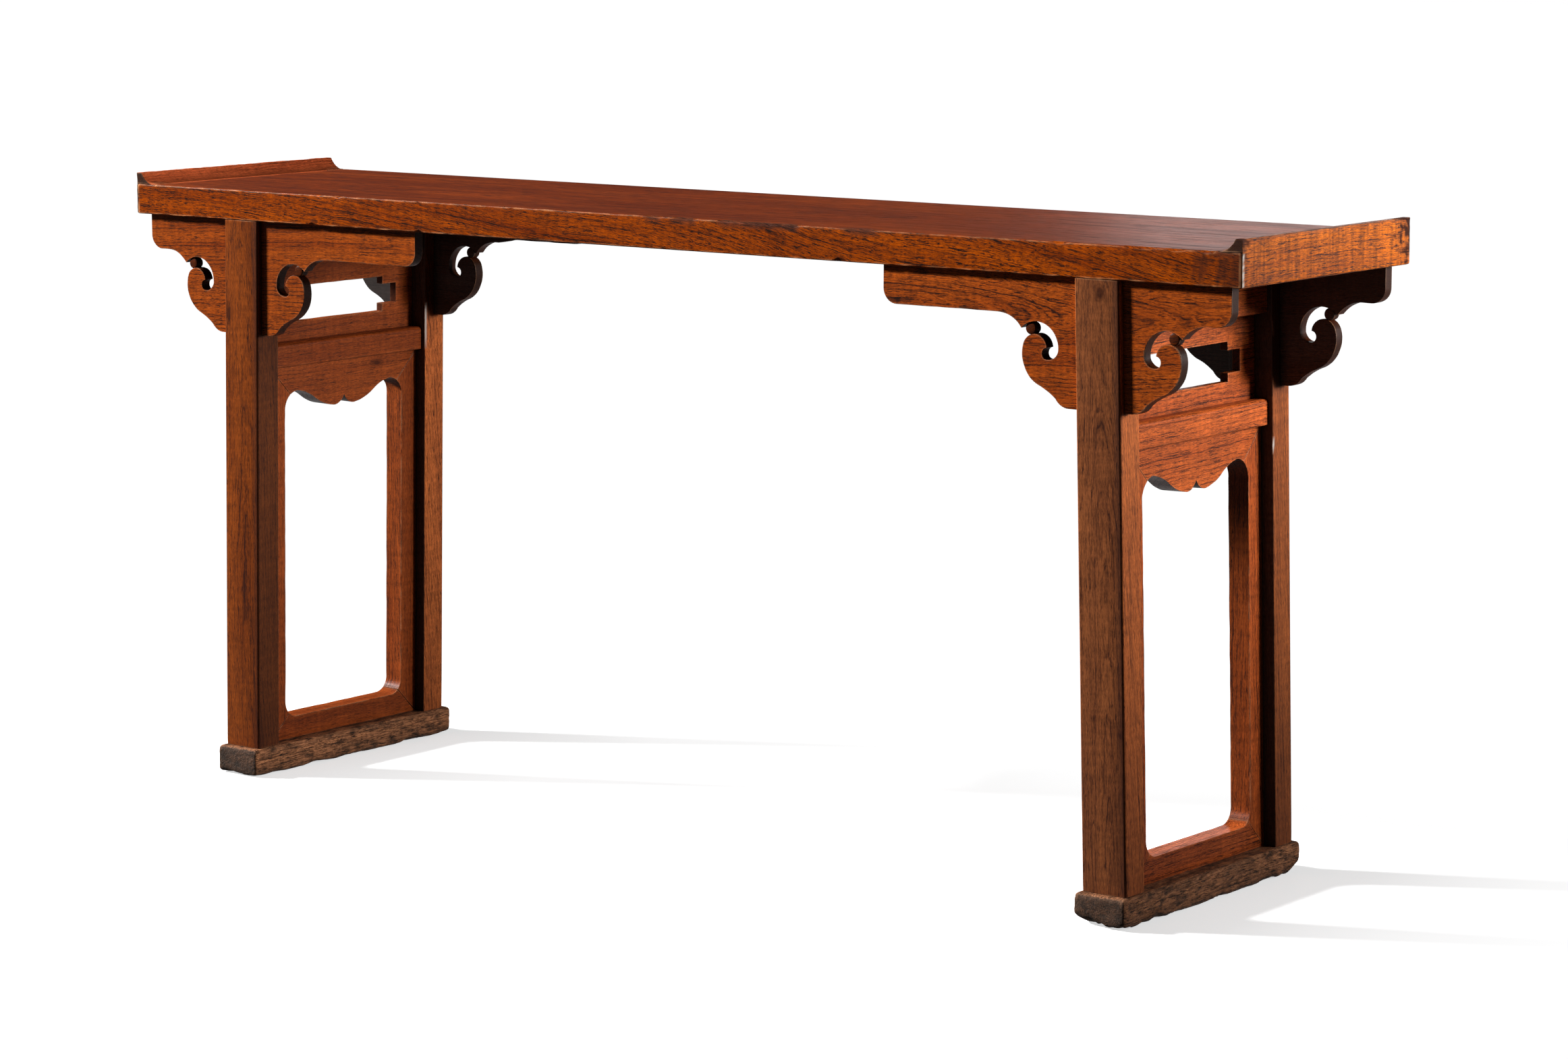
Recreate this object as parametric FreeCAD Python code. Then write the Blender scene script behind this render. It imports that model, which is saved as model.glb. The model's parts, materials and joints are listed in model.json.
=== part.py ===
import FreeCAD, Part
import math
import os

# A recessed-leg trestle table with everted flanges, in millimetres. +X runs along the top,
# +Y to the back and +Z up, and the origin lies on the floor under the middle of the top.

# Table top: one plank between two end pieces that carry the flanges
top_length = 1886.0  # over both end pieces
top_depth = 396.0
top_height = 850.0  # plank's upper face above the floor
plank_thickness = 43.0
end_piece_width = 40.0  # from the table's end to the joint with the plank
end_piece_round = 3.0  # lower outer edge of an end piece
flange_height = 16.5  # above the plank's upper face
flange_crest = 10.5  # thickness of the flange at its top
flange_sweep = 36.0  # from the table's end to the foot of the flange's hollow
tongue_thickness = 14.0
tongue_length = 20.0
tongue_margin = 66.0  # from the plank's long edges to the ends of the tongue

# Trestles: two legs on a shoe foot, joined by rails, each trestle leaning in a little
top_overhang = 190.5  # from the table's end to a leg's axis at its foot
leg_setback = 0.0  # leg fronts behind the long edges of the top
lean_slope = 0.025  # inward run for each unit of height
leg_width = 66.0  # along X
leg_depth = 43.0  # along Y
leg_swell = 1.2  # bulge of a leg's front face
leg_round = 3.5  # front edges of a leg
leg_arris = 1.5  # back edges of a leg
foot_width = 78.0
foot_overhang = 12.0  # foot past the front of a leg
foot_height = 40.0
foot_round = 6.0
rail_recess = 6.5  # rail face behind the sides of the legs
rail_round = 6.0
rail_arris = 1.5
top_rail_height = 69.0
panel_height = 111.0  # between the two rails
middle_rail_height = 34.0

# Openwork panel between the rails, pierced by a slot with stepped corners
panel_thickness = 12.0
opening_half_length = 91.0  # of the tall middle part
opening_height = 51.0
opening_drop = 33.0  # from the top rail down to the opening
slot_step = 29.0  # how far the slot runs on past the tall part at each end
slot_height = 28.5

# Arched frame below the middle rail: apron, two stiles and a bottom strip, mitred
frame_recess = 17.5  # frame face behind the sides of the legs
stile_width = 32.0
strip_height = 33.0
frame_corner_round = 22.0  # lower inner corners of the opening
arch_notch_drop = 54.0  # middle point of the arch below the middle rail
arch_lobe_drop = 67.0  # the two middle lobes below the middle rail
arch_lobe_out = 24.0  # lobe from the middle of the arch
arch_crown_drop = 38.5  # the two outer crowns below the middle rail
arch_crown_in = 25.0  # crown from the inner edge of the stile
arch_spring_drop = 68.0  # where the arch runs into the stile

# Spandrels: one pierced plate through the forked head of each leg
spandrel_recess = 9.0  # plate face behind the front of the leg
spandrel_thickness = 16.0
spandrel_notch = 2.0  # shoulder cut into each face of the plate at the fork
spandrel_drop = 164.0  # height of the plate
inner_reach = 332.0  # long arm, from the leg axis
outer_reach = 188.0  # short arm, from the leg axis
arm_height = 50.0
arm_round = 20.0
arm_hollow = 36.0  # length of the curve from the arm down to the cusp

# Cloud scroll of a spandrel: places are out from the leg's side and down from the top
eye_out = 62.8
eye_down = 91.0
eye_radius = 32.3
eye_cusp_angle = 45.0
eye_end_angle = 185.0
hook_out = 47.0
hook_down = 98.0
hook_radius = 7.2
head_out = 65.0
head_down = 92.5
head_radius = 18.6
head_end_angle = 14.0
body_out = 42.0
body_down = 99.0
body_radius = 42.7
body_end_angle = -70.0
ogee_out = 34.0
ogee_down = 153.0
ogee_foot_out = 14.0
bead_out = 72.5
bead_bite = 0.4  # how far the bead runs into the plate above and below it
bead_recess = 2.5  # bead face behind the plate's face

# Joinery
fork_tenon_width = 40.0
fork_tenon_thickness = 10.0
fork_tenon_length = 26.0
foot_tenon_width = 40.0
foot_tenon_thickness = 24.0
foot_tenon_length = 28.0
rail_tenon_thickness = 14.0
rail_tenon_shoulder = 9.0  # above and below a rail's tenon
top_rail_tenon = 15.0
middle_rail_tenon = 28.0
groove_depth = 6.0  # panel and frame tongues
frame_tongue_thickness = 10.0
frame_tongue_margin = 30.0  # from a frame piece's ends to its tongue
joint_fit = 0.1  # room round a glued joint
lift_fit = 0.5  # room round the tenons that the top lifts off

# Worked out from the sizes above
underside = top_height - plank_thickness
half_length = top_length / 2
half_depth = top_depth / 2
leg_foot_x = half_length - top_overhang
lean_angle = math.degrees(math.atan(lean_slope))
leg_front = leg_setback - half_depth
leg_back = leg_front + leg_depth
foot_length = 2 * (foot_overhang - leg_front)
top_rail_bottom = underside - top_rail_height
middle_rail_top = top_rail_bottom - panel_height
middle_rail_bottom = middle_rail_top - middle_rail_height
rail_width = leg_width - 2 * rail_recess
frame_thickness = leg_width - 2 * frame_recess
frame_half = -leg_back
plate_front = leg_front + spandrel_recess
plate_back = plate_front + spandrel_thickness
fork_front = plate_front + spandrel_notch
fork_back = plate_back - spandrel_notch
spandrel_bottom = underside - spandrel_drop
fork_tenon_y = (fork_back + leg_back) / 2
foot_tenon_y = (leg_front + leg_back) / 2
spill = 30.0  # how far a blank runs past the plane that trims it


def vector(x, y, z):
    return FreeCAD.Vector(x, y, z)


def box(x0, x1, y0, y1, z0, z1):
    return Part.makeBox(x1 - x0, y1 - y0, z1 - z0, vector(x0, y0, z0))


def block(x, width, y, depth, z0, z1, grow=0.0):
    """A box centred on x and y, grown on every side by the given room."""
    half_w = width / 2 + grow
    half_d = depth / 2 + grow
    return box(x - half_w, x + half_w, y - half_d, y + half_d, z0 - grow, z1 + grow)


def line(a, b):
    return Part.LineSegment(a, b).toShape()


def arc(a, through, b):
    return Part.Arc(a, through, b).toShape()


def chain(edges):
    return Part.Wire(Part.__sortEdges__(edges))


def prism(wire, along):
    return Part.Face(wire).extrude(along)


def leg_x(z):
    """The leaning leg axis of the right trestle at a height."""
    return leg_foot_x - lean_slope * (z - foot_height)


def lean(shape):
    """Tip an upright piece of the right trestle inward about the top of its foot."""
    tipped = shape.copy()
    tipped.rotate(vector(leg_foot_x, 0, foot_height), vector(0, 1, 0), -lean_angle)
    return tipped


def between(shape, low, high):
    """The part of a shape between two heights."""
    return shape.common(box(-top_length, top_length, -top_depth, top_depth, low, high))


def to_back(shape):
    return shape.mirror(vector(0, 0, 0), vector(0, 1, 0))


def to_left(shape):
    return shape.mirror(vector(0, 0, 0), vector(1, 0, 0))


def rounded_wire(corners, place):
    """A closed wire through (u, v, radius) corners, with place() putting u, v in space."""
    starts = []
    middles = []
    ends = []
    count = len(corners)
    for i in range(count):
        here = vector(corners[i][0], corners[i][1], 0)
        radius = corners[i][2]
        before = vector(corners[i - 1][0], corners[i - 1][1], 0) - here
        after = vector(corners[(i + 1) % count][0], corners[(i + 1) % count][1], 0) - here
        half = before.getAngle(after) / 2
        before.normalize()
        after.normalize()
        run = radius / math.tan(half)
        inward = before + after
        inward.normalize()
        starts.append(here + before * run)
        ends.append(here + after * run)
        middles.append(here + inward * (radius / math.sin(half) - radius))
    edges = []
    for i in range(count):
        start = place(starts[i].x, starts[i].y)
        end = place(ends[i].x, ends[i].y)
        if corners[i][2] > 0:
            edges.append(arc(start, place(middles[i].x, middles[i].y), end))
        following = starts[(i + 1) % count]
        edges.append(line(end, place(following.x, following.y)))
    return chain(edges)


# Table top
def corner_mitre(low, high):
    """The plank's mitred corner at the front of the right end, as a triangular prism."""
    inner = half_length - end_piece_width
    points = [
        vector(inner, -half_depth, low),
        vector(half_length, -half_depth, low),
        vector(inner, -half_depth + end_piece_width, low),
    ]
    wire = Part.makePolygon(points + points[:1])
    return prism(wire, vector(0, 0, high - low))


def plank_tongue(grow=0.0):
    inner = half_length - end_piece_width
    middle = (underside + top_height) / 2
    half = tongue_thickness / 2 + grow
    wide = half_depth - tongue_margin + grow
    return box(inner - spill, inner + tongue_length + grow, -wide, wide, middle - half, middle + half)


def fork_tenon(grow=0.0):
    """The upright tenon on the head of the right front leg."""
    low = underside - fork_tenon_length / 2
    high = underside + fork_tenon_length
    return block(leg_x(underside), fork_tenon_width, fork_tenon_y, fork_tenon_thickness, low, high, grow)


def table_plank():
    inner = half_length - end_piece_width
    plank = box(-inner, inner, -half_depth, half_depth, underside, top_height)
    corner = corner_mitre(underside, top_height - joint_fit)
    end = [corner, to_back(corner), plank_tongue()]
    plank = plank.fuse(end + [to_left(piece) for piece in end]).removeSplitter()
    mortise = fork_tenon(lift_fit)
    front = [mortise, to_left(mortise)]
    return plank.cut(front + [to_back(piece) for piece in front])


def right_end_piece():
    """Body and everted flange in one piece, with the flange's hollow rising from the top."""
    inner = half_length - end_piece_width
    crest = top_height + flange_height
    run = flange_sweep - flange_crest
    hollow = (run * run + flange_height * flange_height) / (2 * flange_height)
    turn = math.asin(run / hollow) / 2
    foot_x = half_length - flange_sweep

    def at(x, z):
        return vector(x, -half_depth, z)

    lower = half_length - end_piece_round
    slack = end_piece_round * (1 - math.sqrt(0.5))
    edges = [
        line(at(inner, underside), at(lower, underside)),
        arc(
            at(lower, underside),
            at(half_length - slack, underside + slack),
            at(half_length, underside + end_piece_round),
        ),
        line(at(half_length, underside + end_piece_round), at(half_length, crest)),
        line(at(half_length, crest), at(half_length - flange_crest, crest)),
        arc(
            at(half_length - flange_crest, crest),
            at(foot_x + hollow * math.sin(turn), top_height + hollow * (1 - math.cos(turn))),
            at(foot_x, top_height),
        ),
        line(at(foot_x, top_height), at(inner, top_height)),
        line(at(inner, top_height), at(inner, underside)),
    ]
    piece = prism(chain(edges), vector(0, top_depth, 0))
    corner = corner_mitre(underside - spill, top_height)
    return piece.cut([corner, to_back(corner), plank_tongue(joint_fit)])


# Rails, panel and frame of the right trestle, upright until they are leaned
def rail_blank(low, high, upper_round, lower_round):
    half = rail_width / 2
    corners = [
        (leg_foot_x - half, low, lower_round),
        (leg_foot_x + half, low, lower_round),
        (leg_foot_x + half, high, upper_round),
        (leg_foot_x - half, high, upper_round),
    ]
    wire = rounded_wire(corners, lambda x, z: vector(x, leg_back, z))
    return prism(wire, vector(0, 2 * frame_half, 0))


def rail_tenon(low, high, length, grow=0.0):
    """Both tenons of a rail as one bar through the rail."""
    span = 2 * (frame_half + length)
    shoulder = rail_tenon_shoulder
    return block(leg_foot_x, rail_tenon_thickness, 0, span, low + shoulder, high - shoulder, grow)


def top_rail_bar(grow=0.0):
    return rail_tenon(top_rail_bottom, underside, top_rail_tenon, grow)


def middle_rail_bar(grow=0.0):
    return rail_tenon(middle_rail_bottom, middle_rail_top, middle_rail_tenon, grow)


def panel_blank(grow=0.0):
    """The panel's board with its tongues: one way into the legs, the other into the rails."""
    deep = frame_half + groove_depth
    wide = block(leg_foot_x, panel_thickness, 0, 2 * deep, middle_rail_top, top_rail_bottom, grow)
    low = middle_rail_top - groove_depth
    high = top_rail_bottom + groove_depth
    tall = block(leg_foot_x, panel_thickness, 0, 2 * frame_half, low, high, grow)
    return wide.fuse(tall)


def stile_tongues(grow=0.0):
    span = 2 * (frame_half + groove_depth)
    low = foot_height + frame_tongue_margin
    high = middle_rail_bottom - frame_tongue_margin
    return block(leg_foot_x, frame_tongue_thickness, 0, span, low, high, grow)


def apron_tongue(grow=0.0):
    span = 2 * (frame_half - frame_tongue_margin)
    low = middle_rail_bottom - groove_depth
    high = middle_rail_bottom + groove_depth
    return block(leg_foot_x, frame_tongue_thickness, 0, span, low, high, grow)


def strip_tongue(grow=0.0):
    span = 2 * (frame_half - frame_tongue_margin)
    low = foot_height - groove_depth
    high = foot_height + groove_depth
    return block(leg_foot_x, frame_tongue_thickness, 0, span, low, high, grow)


def top_rail():
    blank = rail_blank(top_rail_bottom, underside + spill, rail_arris, rail_arris)
    rail = between(lean(blank), 0, underside).fuse(lean(top_rail_bar()))
    return rail.cut(lean(panel_blank(joint_fit))).removeSplitter()


def middle_rail():
    blank = rail_blank(middle_rail_bottom, middle_rail_top, rail_round, rail_arris)
    rail = blank.fuse(middle_rail_bar())
    rail = rail.cut([panel_blank(joint_fit), apron_tongue(joint_fit)])
    return lean(rail.removeSplitter())


def openwork_panel():
    top = top_rail_bottom - opening_drop
    bottom = top - opening_height
    middle = (top + bottom) / 2
    long_half = opening_half_length + slot_step
    through = 4 * panel_thickness
    tall = block(leg_foot_x, through, 0, 2 * opening_half_length, bottom, top)
    slot_low = middle - slot_height / 2
    slot = block(leg_foot_x, through, 0, 2 * long_half, slot_low, slot_low + slot_height)
    return lean(panel_blank().cut([tall, slot]).removeSplitter())


def arch_edges(at):
    """The arch above the opening, from the left stile to the right one, as a chain of arcs."""
    inner = frame_half - stile_width
    rail = middle_rail_bottom
    notch = rail - arch_notch_drop
    lobe = rail - arch_lobe_drop
    crown_y = inner - arch_crown_in
    crown = rail - arch_crown_drop
    spring = rail - arch_spring_drop
    turn_y = (arch_lobe_out + crown_y) / 2
    turn = (lobe + crown) / 2
    bend = math.sqrt(0.5)
    edges = []
    for side in (-1, 1):
        tip = at(0, notch)
        lobe_point = at(side * arch_lobe_out, lobe)
        turn_point = at(side * turn_y, turn)
        crown_point = at(side * crown_y, crown)
        spring_point = at(side * inner, spring)
        lobe_bulge = at(side * arch_lobe_out * (1 - bend), notch - (notch - lobe) * bend)
        low_bulge = at(side * (arch_lobe_out * 0.5 + turn_y * 0.5), lobe + (turn - lobe) * 0.32)
        high_bulge = at(side * (turn_y + crown_y) / 2, crown - (crown - turn) * 0.32)
        shoulder = at(
            side * (crown_y + arch_crown_in * bend),
            spring + (crown - spring) * bend,
        )
        edges.append(arc(tip, lobe_bulge, lobe_point))
        edges.append(arc(lobe_point, low_bulge, turn_point))
        edges.append(arc(turn_point, high_bulge, crown_point))
        edges.append(arc(crown_point, shoulder, spring_point))
    return edges


def frame_opening():
    """The arched opening as a prism through the frame."""
    inner = frame_half - stile_width
    spring = middle_rail_bottom - arch_spring_drop
    sill = foot_height + strip_height
    round_ = frame_corner_round
    slack = round_ * (1 - math.sqrt(0.5))

    def at(y, z):
        return vector(leg_foot_x - frame_thickness, y, z)

    edges = arch_edges(at)
    for side in (-1, 1):
        edges.append(line(at(side * inner, spring), at(side * inner, sill + round_)))
        edges.append(
            arc(
                at(side * inner, sill + round_),
                at(side * (inner - slack), sill + slack),
                at(side * (inner - round_), sill),
            )
        )
    edges.append(line(at(round_ - inner, sill), at(inner - round_, sill)))
    return prism(chain(edges), vector(2 * frame_thickness, 0, 0))


def mitre_wedge(corners):
    """A prism through the frame from (y, z) corners, which takes one piece of it."""
    points = [vector(leg_foot_x - frame_thickness, y, z) for y, z in corners]
    wire = Part.makePolygon(points + points[:1])
    return prism(wire, vector(2 * frame_thickness, 0, 0))


def frame_pieces():
    """Apron, front stile, back stile and bottom strip, cut from one ring along its mitres."""
    rail = middle_rail_bottom
    edge = frame_half
    ring = block(leg_foot_x, frame_thickness, 0, 2 * edge, foot_height - spill, rail)
    ring = ring.cut(frame_opening())
    upper = max(arch_lobe_drop, arch_spring_drop) + groove_depth
    lower = strip_height + frame_corner_round
    floor = foot_height - spill
    apron = mitre_wedge([(-edge, rail), (edge, rail), (edge - upper, rail - upper), (upper - edge, rail - upper)])
    stile = mitre_wedge(
        [
            (-edge, rail),
            (upper - edge, rail - upper),
            (lower - edge, foot_height + lower),
            (-edge, foot_height),
        ]
    )
    strip = mitre_wedge(
        [
            (-edge, floor),
            (edge, floor),
            (edge, foot_height),
            (edge - lower, foot_height + lower),
            (lower - edge, foot_height + lower),
            (-edge, foot_height),
        ]
    )
    front_tongue = stile_tongues().common(box(0, top_length, -top_depth, leg_back + spill / 2, 0, top_height))
    apron = lean(ring.common(apron).fuse(apron_tongue()).removeSplitter())
    front = ring.common(stile).fuse(front_tongue).removeSplitter()
    front = between(lean(front), foot_height, top_height)
    strip = between(lean(ring.common(strip)), foot_height, top_height)
    strip = strip.fuse(lean(strip_tongue())).removeSplitter()
    return apron, front, to_back(front), strip


# Legs, feet and spandrels of the right trestle
def leg_blank():
    """The leg's section, with a swelled front and rounded front edges, run past both trims."""
    half = leg_width / 2
    low = foot_height - spill
    height = underside - foot_height + 2 * spill
    face = leg_front + leg_swell

    def at(x, y):
        return vector(leg_foot_x + x, y, low)

    slack = leg_round * (1 - math.sqrt(0.5))
    nip = leg_arris * (1 - math.sqrt(0.5))
    edges = [arc(at(leg_round - half, face), at(0, leg_front), at(half - leg_round, face))]
    for side in (-1, 1):
        out = side * half
        edges.append(
            arc(
                at(out - side * leg_round, face),
                at(out - side * slack, face + slack),
                at(out, face + leg_round),
            )
        )
        edges.append(line(at(out, face + leg_round), at(out, leg_back - leg_arris)))
        edges.append(
            arc(
                at(out, leg_back - leg_arris),
                at(out - side * nip, leg_back - nip),
                at(out - side * leg_arris, leg_back),
            )
        )
    edges.append(line(at(leg_arris - half, leg_back), at(half - leg_arris, leg_back)))
    return prism(chain(edges), vector(0, 0, height))


def foot_tenon(grow=0.0):
    low = foot_height - foot_tenon_length
    high = foot_height + foot_tenon_length / 2
    return block(leg_foot_x, foot_tenon_width, foot_tenon_y, foot_tenon_thickness, low, high, grow)


def front_leg():
    """A forked leg: tenons at both ends, a fork for the spandrel, mortises and grooves."""
    leg = between(lean(leg_blank()), foot_height, underside)
    leg = leg.fuse([fork_tenon(), foot_tenon()]).removeSplitter()
    reach = leg_foot_x + top_depth
    fork = box(0, reach, fork_front - joint_fit, fork_back + joint_fit, spandrel_bottom, top_height + spill)
    fork = fork.cut(fork_tenon())
    mates = [
        top_rail_bar(joint_fit),
        middle_rail_bar(joint_fit),
        panel_blank(joint_fit),
        stile_tongues(joint_fit),
    ]
    return leg.cut([fork] + [lean(mate) for mate in mates])


def foot():
    half = foot_length / 2
    shoe = block(leg_foot_x, foot_width, 0, foot_length, 0, foot_height)
    upper = []
    for edge in shoe.Edges:
        heights = [vertex.Point.z for vertex in edge.Vertexes]
        if min(heights) > foot_height / 2:
            upper.append(edge)
    shoe = shoe.makeFillet(min(foot_round, half), upper)
    tenon = foot_tenon(joint_fit)
    return shoe.cut([tenon, to_back(tenon), lean(strip_tongue(joint_fit))])


def on_circle(out, down, radius, angle):
    """A point on one of the scroll's circles, as out and down from the scroll's datum."""
    turn = math.radians(angle)
    return out + radius * math.cos(turn), down - radius * math.sin(turn)


def half_spandrel(side, reach, axis_x):
    """One arm of the plate with its scroll, from the middle of the top to that of the foot."""
    leg_side = leg_width / 2

    def at(out, down):
        return vector(axis_x + side * out, plate_front, underside - down)

    def scroll(point):
        return at(leg_side + point[0], point[1])

    cusp = on_circle(eye_out, eye_down, eye_radius, eye_cusp_angle)
    cusp_out = leg_side + cusp[0]
    fall = cusp[1] - arm_height
    hollow = (arm_hollow * arm_hollow + fall * fall) / (2 * fall)
    turn = math.asin(arm_hollow / hollow) / 2
    hollow_start = cusp_out + arm_hollow
    hollow_mid = at(hollow_start - hollow * math.sin(turn), arm_height + hollow * (1 - math.cos(turn)))
    slack = arm_round * (1 - math.sqrt(0.5))
    eye_top = scroll(on_circle(eye_out, eye_down, eye_radius, 110))
    eye_end = scroll(on_circle(eye_out, eye_down, eye_radius, eye_end_angle))
    hook_foot = scroll((hook_out, hook_down + hook_radius))
    hook_bulge = scroll(((eye_out - eye_radius) * 0.6 + hook_out * 0.4, hook_down + hook_radius * 0.65))
    hook_side = scroll((hook_out + hook_radius, hook_down))
    hook_head = scroll((hook_out, hook_down - hook_radius))
    head_top = scroll((head_out, head_down - head_radius))
    head_end = scroll(on_circle(head_out, head_down, head_radius, head_end_angle))
    body_side = scroll(on_circle(body_out, body_down, body_radius, body_end_angle / 2))
    body_end_place = on_circle(body_out, body_down, body_radius, body_end_angle)
    body_end = scroll(body_end_place)
    ogee = scroll((ogee_out, ogee_down))
    ogee_bulge = scroll(((body_end_place[0] + ogee_out) / 2, (body_end_place[1] + ogee_down) / 2 - 1.2))
    foot_bulge = scroll(((ogee_out + ogee_foot_out) / 2 + 1.5, (ogee_down + spandrel_drop) / 2 + 2.6))
    ogee_foot = scroll((ogee_foot_out, spandrel_drop))
    return [
        line(at(0, 0), at(reach, 0)),
        line(at(reach, 0), at(reach, arm_height - arm_round)),
        arc(
            at(reach, arm_height - arm_round),
            at(reach - slack, arm_height - slack),
            at(reach - arm_round, arm_height),
        ),
        line(at(reach - arm_round, arm_height), at(hollow_start, arm_height)),
        arc(at(hollow_start, arm_height), hollow_mid, scroll(cusp)),
        arc(scroll(cusp), eye_top, eye_end),
        arc(eye_end, hook_bulge, hook_foot),
        arc(hook_foot, hook_side, hook_head),
        arc(hook_head, head_top, head_end),
        arc(head_end, body_side, body_end),
        arc(body_end, ogee_bulge, ogee),
        arc(ogee, foot_bulge, ogee_foot),
        line(ogee_foot, at(0, spandrel_drop)),
    ]


def scroll_bead(side, axis_x):
    """The round bead that bridges the neck of the scroll's eye."""
    from_eye = bead_out - eye_out
    from_head = bead_out - head_out
    upper = eye_down - math.sqrt(eye_radius * eye_radius - from_eye * from_eye)
    lower = head_down - math.sqrt(head_radius * head_radius - from_head * from_head)
    radius = (lower - upper) / 2 + bead_bite
    x = axis_x + side * (leg_width / 2 + bead_out)
    z = underside - (upper + lower) / 2
    length = spandrel_thickness - 2 * bead_recess
    return Part.makeCylinder(radius, length, vector(x, plate_front + bead_recess, z), vector(0, 1, 0))


def front_spandrel():
    """The whole plate: a long arm inward, a short arm outward, notched where the leg forks."""
    axis_x = leg_x(underside - spandrel_drop / 2)
    edges = half_spandrel(-1, inner_reach, axis_x) + half_spandrel(1, outer_reach, axis_x)
    plate = prism(chain(edges), vector(0, spandrel_thickness, 0))
    plate = plate.fuse([scroll_bead(-1, axis_x), scroll_bead(1, axis_x)])
    low = foot_height - spill
    high = underside + spill
    width = leg_width + 2 * joint_fit
    middle = (plate_front + plate_back) / 2
    notched = block(leg_foot_x, width, middle, 2 * spandrel_thickness, low, high)
    kept = block(leg_foot_x, 2 * width, middle, fork_back - fork_front, low, high)
    return plate.cut(lean(notched.cut(kept)))


def right_trestle():
    """Every piece of the right trestle by its plain name."""
    leg = front_leg()
    spandrel = front_spandrel()
    apron, front_stile, back_stile, strip = frame_pieces()
    return {
        "foot": foot(),
        "front_leg": leg,
        "back_leg": to_back(leg),
        "top_rail": top_rail(),
        "middle_rail": middle_rail(),
        "openwork_panel": openwork_panel(),
        "arch_apron": apron,
        "front_stile": front_stile,
        "back_stile": back_stile,
        "bottom_strip": strip,
        "front_spandrel": spandrel,
        "back_spandrel": to_back(spandrel),
    }


def table():
    """Every piece of the table by its node's name."""
    end_piece = right_end_piece()
    pieces = {
        "top_plank": table_plank(),
        "right_end_piece": end_piece,
        "left_end_piece": to_left(end_piece),
    }
    for name, shape in right_trestle().items():
        pieces["right_" + name] = shape
        pieces["left_" + name] = to_left(shape)
    return pieces


os.makedirs("parts", exist_ok=True)
for name, shape in table().items():
    solids = shape.Solids
    if len(solids) != 1 or not solids[0].isValid():
        raise ValueError(name + " is not one sound solid")
    solids[0].exportStep("parts/" + name + ".step")
    size = solids[0].BoundBox
    print("%-24s %8.1f x %7.1f x %7.1f mm" % (name, size.XLength, size.YLength, size.ZLength))
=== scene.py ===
"""Looks of a long recessed-leg table with everted flanges and pierced scroll spandrels.

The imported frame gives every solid. Each piece of wood is taken over as a worn copy with eased arrises,
the plank and its end pieces are chipped, the shoe feet are eroded, the scroll pearls get domes, and every
piece carries a solid rosewood figure that follows its own grain direction.
"""

import json
import logging
import math
from collections.abc import Callable
from dataclasses import dataclass, replace
from enum import Enum

import bmesh
import bpy
from mathutils import Matrix, Vector, noise

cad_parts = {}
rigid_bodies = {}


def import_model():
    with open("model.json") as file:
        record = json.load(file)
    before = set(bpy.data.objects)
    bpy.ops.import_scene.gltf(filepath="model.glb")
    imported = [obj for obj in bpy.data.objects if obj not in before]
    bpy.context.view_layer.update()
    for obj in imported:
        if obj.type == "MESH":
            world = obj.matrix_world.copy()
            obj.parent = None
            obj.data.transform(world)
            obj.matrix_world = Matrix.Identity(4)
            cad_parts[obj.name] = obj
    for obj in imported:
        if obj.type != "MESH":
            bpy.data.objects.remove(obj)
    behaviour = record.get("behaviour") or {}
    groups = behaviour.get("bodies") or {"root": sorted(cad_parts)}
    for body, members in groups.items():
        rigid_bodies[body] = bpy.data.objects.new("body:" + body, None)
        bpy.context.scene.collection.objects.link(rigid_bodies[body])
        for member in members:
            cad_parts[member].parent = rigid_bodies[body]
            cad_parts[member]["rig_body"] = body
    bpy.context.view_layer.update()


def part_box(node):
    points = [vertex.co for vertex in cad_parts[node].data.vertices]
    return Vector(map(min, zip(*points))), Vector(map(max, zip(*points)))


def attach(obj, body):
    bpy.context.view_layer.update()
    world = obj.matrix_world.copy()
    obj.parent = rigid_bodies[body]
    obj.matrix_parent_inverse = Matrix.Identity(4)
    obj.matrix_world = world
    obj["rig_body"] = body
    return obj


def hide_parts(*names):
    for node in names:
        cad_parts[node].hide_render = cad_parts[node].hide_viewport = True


Colour = tuple[float, float, float, float]
Triple = tuple[float, float, float]
Span = tuple[float, float]
Socket = bpy.types.NodeSocket
Feed = Socket | float | Colour | Triple
Feeds = dict[str | int, Feed]
Outputs = bpy.types.bpy_prop_collection
Point = bmesh.types.BMVert
Chooser = Callable[[Vector], bool]

log = logging.getLogger("trestle_table")

MM = 0.001
WELD = 1e-5
FLAT = math.radians(0.4)
SHARP = math.radians(42)
TURNED = 0.5
SQUARELY = 0.8
EASE_STEPS = 2
WEAR_SAMPLES = 8
RUB_EVEN = 0.35
RUB_SCALE: Triple = (55.0, 31.0, 17.0)
ON_FACE = 0.2
ARRIS_EASING = 0.72
BITE_EVEN = 0.3
SAME_FACING = 0.985
CHIP_SCALE: Triple = (130.0, 7.0, 0.0)
CHIP_RAGGED = 0.5
CHIP_SHADE_GAIN = 1.6
SCUFF_GAIN = 2.0
STAIN_RAGGED = 0.9
STAIN_GAIN = 2.6
STAIN_START = 0.7
LEAN_DOWN = 0.6
KNOT_DRAW = 0.62
UNEVEN_NOISE = (0.8, 2.1, 3)


class Grain(Enum):
    """The direction that the fibres of a piece run in."""

    ALONG_X = (1.0, 0.0, 0.0)
    ALONG_Y = (0.0, 1.0, 0.0)
    ALONG_Z = (0.0, 0.0, 1.0)

    def turn(self) -> Matrix:
        """Give the rotation that lays this direction along the log's own X axis.

        Returns:
            The rotation.
        """
        if self is Grain.ALONG_Y:
            return Matrix.Rotation(math.radians(-90), 3, "Z")
        if self is Grain.ALONG_Z:
            return Matrix.Rotation(math.radians(90), 3, "Y")
        return Matrix.Identity(3)


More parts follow.
